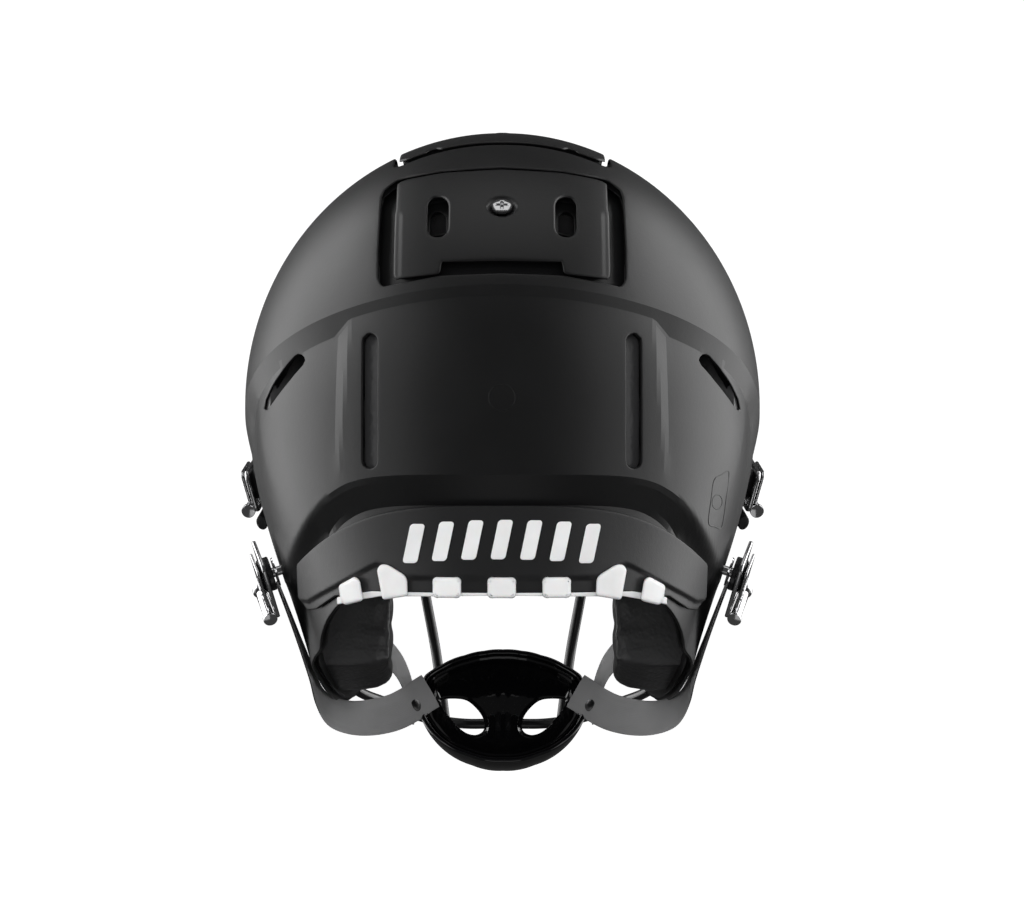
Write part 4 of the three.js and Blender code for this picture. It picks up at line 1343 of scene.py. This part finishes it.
class HELMET_OT_buckles(bpy.types.Operator):
    """The snaps, the buckles that hold the straps, and their cam levers"""

    bl_idname = "helmet.buckles"
    bl_label = "Buckles"

    def execute(self, context):
        for name, side in SIDES:
            for height in STUDS:
                place = self.at_stud(height, side)
                tail = f"{height}_{name}"
                body, lever = f"buckle_{tail}", f"cam_lever_{tail}"
                ring, flap = self.frame(*RINGS[height]), self.lever(*RINGS[height])
                stud = turned(STUD)
                piece(stud, f"stud_{tail}", "Chrome", "shell", [f"snap_stud_{tail}"], matrix=place)
                piece(ring, f"{body}_frame", "Chrome", body, [body], matrix=place)
                piece(self.cap(), f"{body}_cap", "Coated wire", body, matrix=place)
                piece(flap, f"{lever}_flap", "Chrome", lever, [lever], matrix=place)
            self.roll(name, self.at_stud("high", side))
        return {"FINISHED"}

    def at_stud(self, height, side):
        spot = STUDS[height]
        return placed(spot["at"], spot["out"], spot["up"], side)

    def frame(self, middle, half):
        outer, inner = rounded(13, half, 4, 0, middle), rounded(10.6, half - 2.6, 3, 0, middle)
        bm = ring_slab(outer, inner, 5.6, 7.6, 0.6)
        low = middle - half + 2
        for x in (-11.9, 11.9):
            joined(bm, rod(3.5, 1.1, x, low, 10.6))
        return bm

    def cap(self):
        bm = ring_slab(rounded(10.9, 6.2, 2, 0, 1), rounded(6, 5.6, 5.5, 0, 0.4), 5.8, 7.2, 0.4)
        return joined(bm, turned(CAP))

    def lever(self, middle, half):
        low = middle - half + 2
        bm = slab(rounded(9.6, (9 - low) / 2, 2.4, 0, (9 + low) / 2), 9, 10.4, 0.5)
        for y in (low + 7, low + 10, low + 13):
            joined(bm, slab(rounded(5.5, 0.6, 0.5, 0, y), 10, 10.9, 0.25))
        return joined(bm, rod(2.6, 12.6, 0, low, 10.6))

    def roll(self, name, place):
        bm = rod(3.3, 9.5, 0, -19, 6.6, 32, 0.8)
        bmesh.ops.scale(bm, vec=(1, 1.15, 0.85), space=Matrix.Translation((0, 19, -6.6)), verts=bm.verts)
        body, node = f"buckle_high_{name}", f"strap_roll_high_{name}"
        piece(bm, f"roll_{name}", "Bumper rubber", body, [node], matrix=place)


class HELMET_OT_stage(bpy.types.Operator):
    """A pale floor, soft light from both sides and the camera behind the helmet"""

    bl_idname = "helmet.stage"
    bl_label = "Stage"

    def execute(self, context):
        scene = context.scene
        scene.view_settings.view_transform = "Standard"
        self.floor(scene)
        self.world(scene)
        for side in (1, -1):
            self.lamp("Rear panel", (side * 1.66, -0.62, 0.45), 1.9, 2.8, 42)
            self.lamp("Side panel", (side * 1.55, 0.85, 0.35), 1.4, 2.4, 9)
        self.lamp("Overhead", (0, 0.1, 2.2), 1.6, 1.6, 5.5)
        self.lamp("Low panel", (0, 1.3, -1.6), 1.2, 1.2, 1.5)
        self.lamp("Soft front", (0, 3.0, 0.1), 3.0, 3.0, 105).visible_glossy = False
        self.camera(scene)
        return {"FINISHED"}

    def camera(self, scene):
        camera = bpy.data.cameras.new("Camera")
        camera.lens = 143.4
        camera.sensor_width = 36
        camera.clip_end = 50
        holder = bpy.data.objects.new("Camera", camera)
        holder.location = (-0.00466, 2.0, -0.027)
        holder.rotation_euler = (math.pi / 2, 0, math.pi)
        scene.collection.objects.link(holder)
        scene.camera = holder

    def floor(self, scene):
        bm = bmesh.new()
        bmesh.ops.create_grid(bm, x_segments=1, y_segments=1, size=20)
        bmesh.ops.translate(bm, vec=(0, 0, -0.45), verts=bm.verts)
        mesh = bpy.data.meshes.new("Floor")
        bm.to_mesh(mesh)
        bm.free()
        floor = bpy.data.objects.new("Floor", mesh)
        scene.collection.objects.link(floor)
        pale = Finish("Pale floor", Emission_Strength=1.0, Roughness=0.9)
        cloud = pale.noise(0.6, 2)
        pale.set("Base Color", pale.colours(cloud, (0.9, 0.9, 0.9), (0.94, 0.94, 0.94)))
        pale.set("Emission Color", (1, 1, 1, 1))
        mesh.materials.append(pale.material)
        floor.visible_glossy = False
        floor.visible_diffuse = False

    def world(self, scene):
        world = bpy.data.worlds.new("White room")
        world.use_nodes = True
        tree = world.node_tree
        paper, dim = tree.nodes["Background"], tree.nodes.new("ShaderNodeBackground")
        for background, strength in ((paper, 1.1), (dim, 0.05)):
            background.inputs["Color"].default_value = (1, 1, 1, 1)
            background.inputs["Strength"].default_value = strength
        ray = tree.nodes.new("ShaderNodeLightPath")
        choose = tree.nodes.new("ShaderNodeMixShader")
        tree.links.new(ray.outputs["Is Camera Ray"], choose.inputs[0])
        tree.links.new(dim.outputs[0], choose.inputs[1])
        tree.links.new(paper.outputs[0], choose.inputs[2])
        tree.links.new(choose.outputs[0], tree.nodes["World Output"].inputs["Surface"])
        scene.world = world

    def lamp(self, name, place, wide, tall, power):
        light = bpy.data.lights.new(name, "AREA")
        light.shape = "RECTANGLE"
        light.size = wide
        light.size_y = tall
        light.energy = power
        holder = bpy.data.objects.new(name, light)
        holder.location = place
        holder.rotation_euler = (-Vector(place)).to_track_quat("-Z", "Y").to_euler()
        bpy.context.scene.collection.objects.link(holder)
        return holder


STEPS = ("stage", "shell", "marks", "plates", "bumpers", "liner", "mask", "cup", "straps", "buckles")


class HELMET_PT_build(bpy.types.Panel):
    """Lists every part of the helmet that can be built"""

    bl_idname = "HELMET_PT_build"
    bl_label = "Football helmet"
    bl_space_type = "VIEW_3D"
    bl_region_type = "UI"
    bl_category = "Helmet"

    def draw(self, context):
        for group in (context.scene.helmet_sizes, context.scene.helmet_look):
            for name in group.__annotations__:
                self.layout.prop(group, name)
        for step in STEPS:
            self.layout.operator(f"helmet.{step}")


CLASSES = (
    HelmetSizes, HelmetLook, HELMET_OT_stage, HELMET_OT_shell, HELMET_OT_marks, HELMET_OT_plates,
    HELMET_OT_bumpers, HELMET_OT_liner, HELMET_OT_mask, HELMET_OT_cup, HELMET_OT_straps,
    HELMET_OT_buckles, HELMET_PT_build,
)


def register():
    for cls in CLASSES:
        bpy.utils.register_class(cls)
    bpy.types.Scene.helmet_sizes = PointerProperty(type=HelmetSizes)
    bpy.types.Scene.helmet_look = PointerProperty(type=HelmetLook)


def unregister():
    del bpy.types.Scene.helmet_look
    del bpy.types.Scene.helmet_sizes
    for cls in reversed(CLASSES):
        bpy.utils.unregister_class(cls)


def main():
    register()
    for step in STEPS:
        getattr(bpy.ops.helmet, step)()


if __name__ == "__main__":
    main()
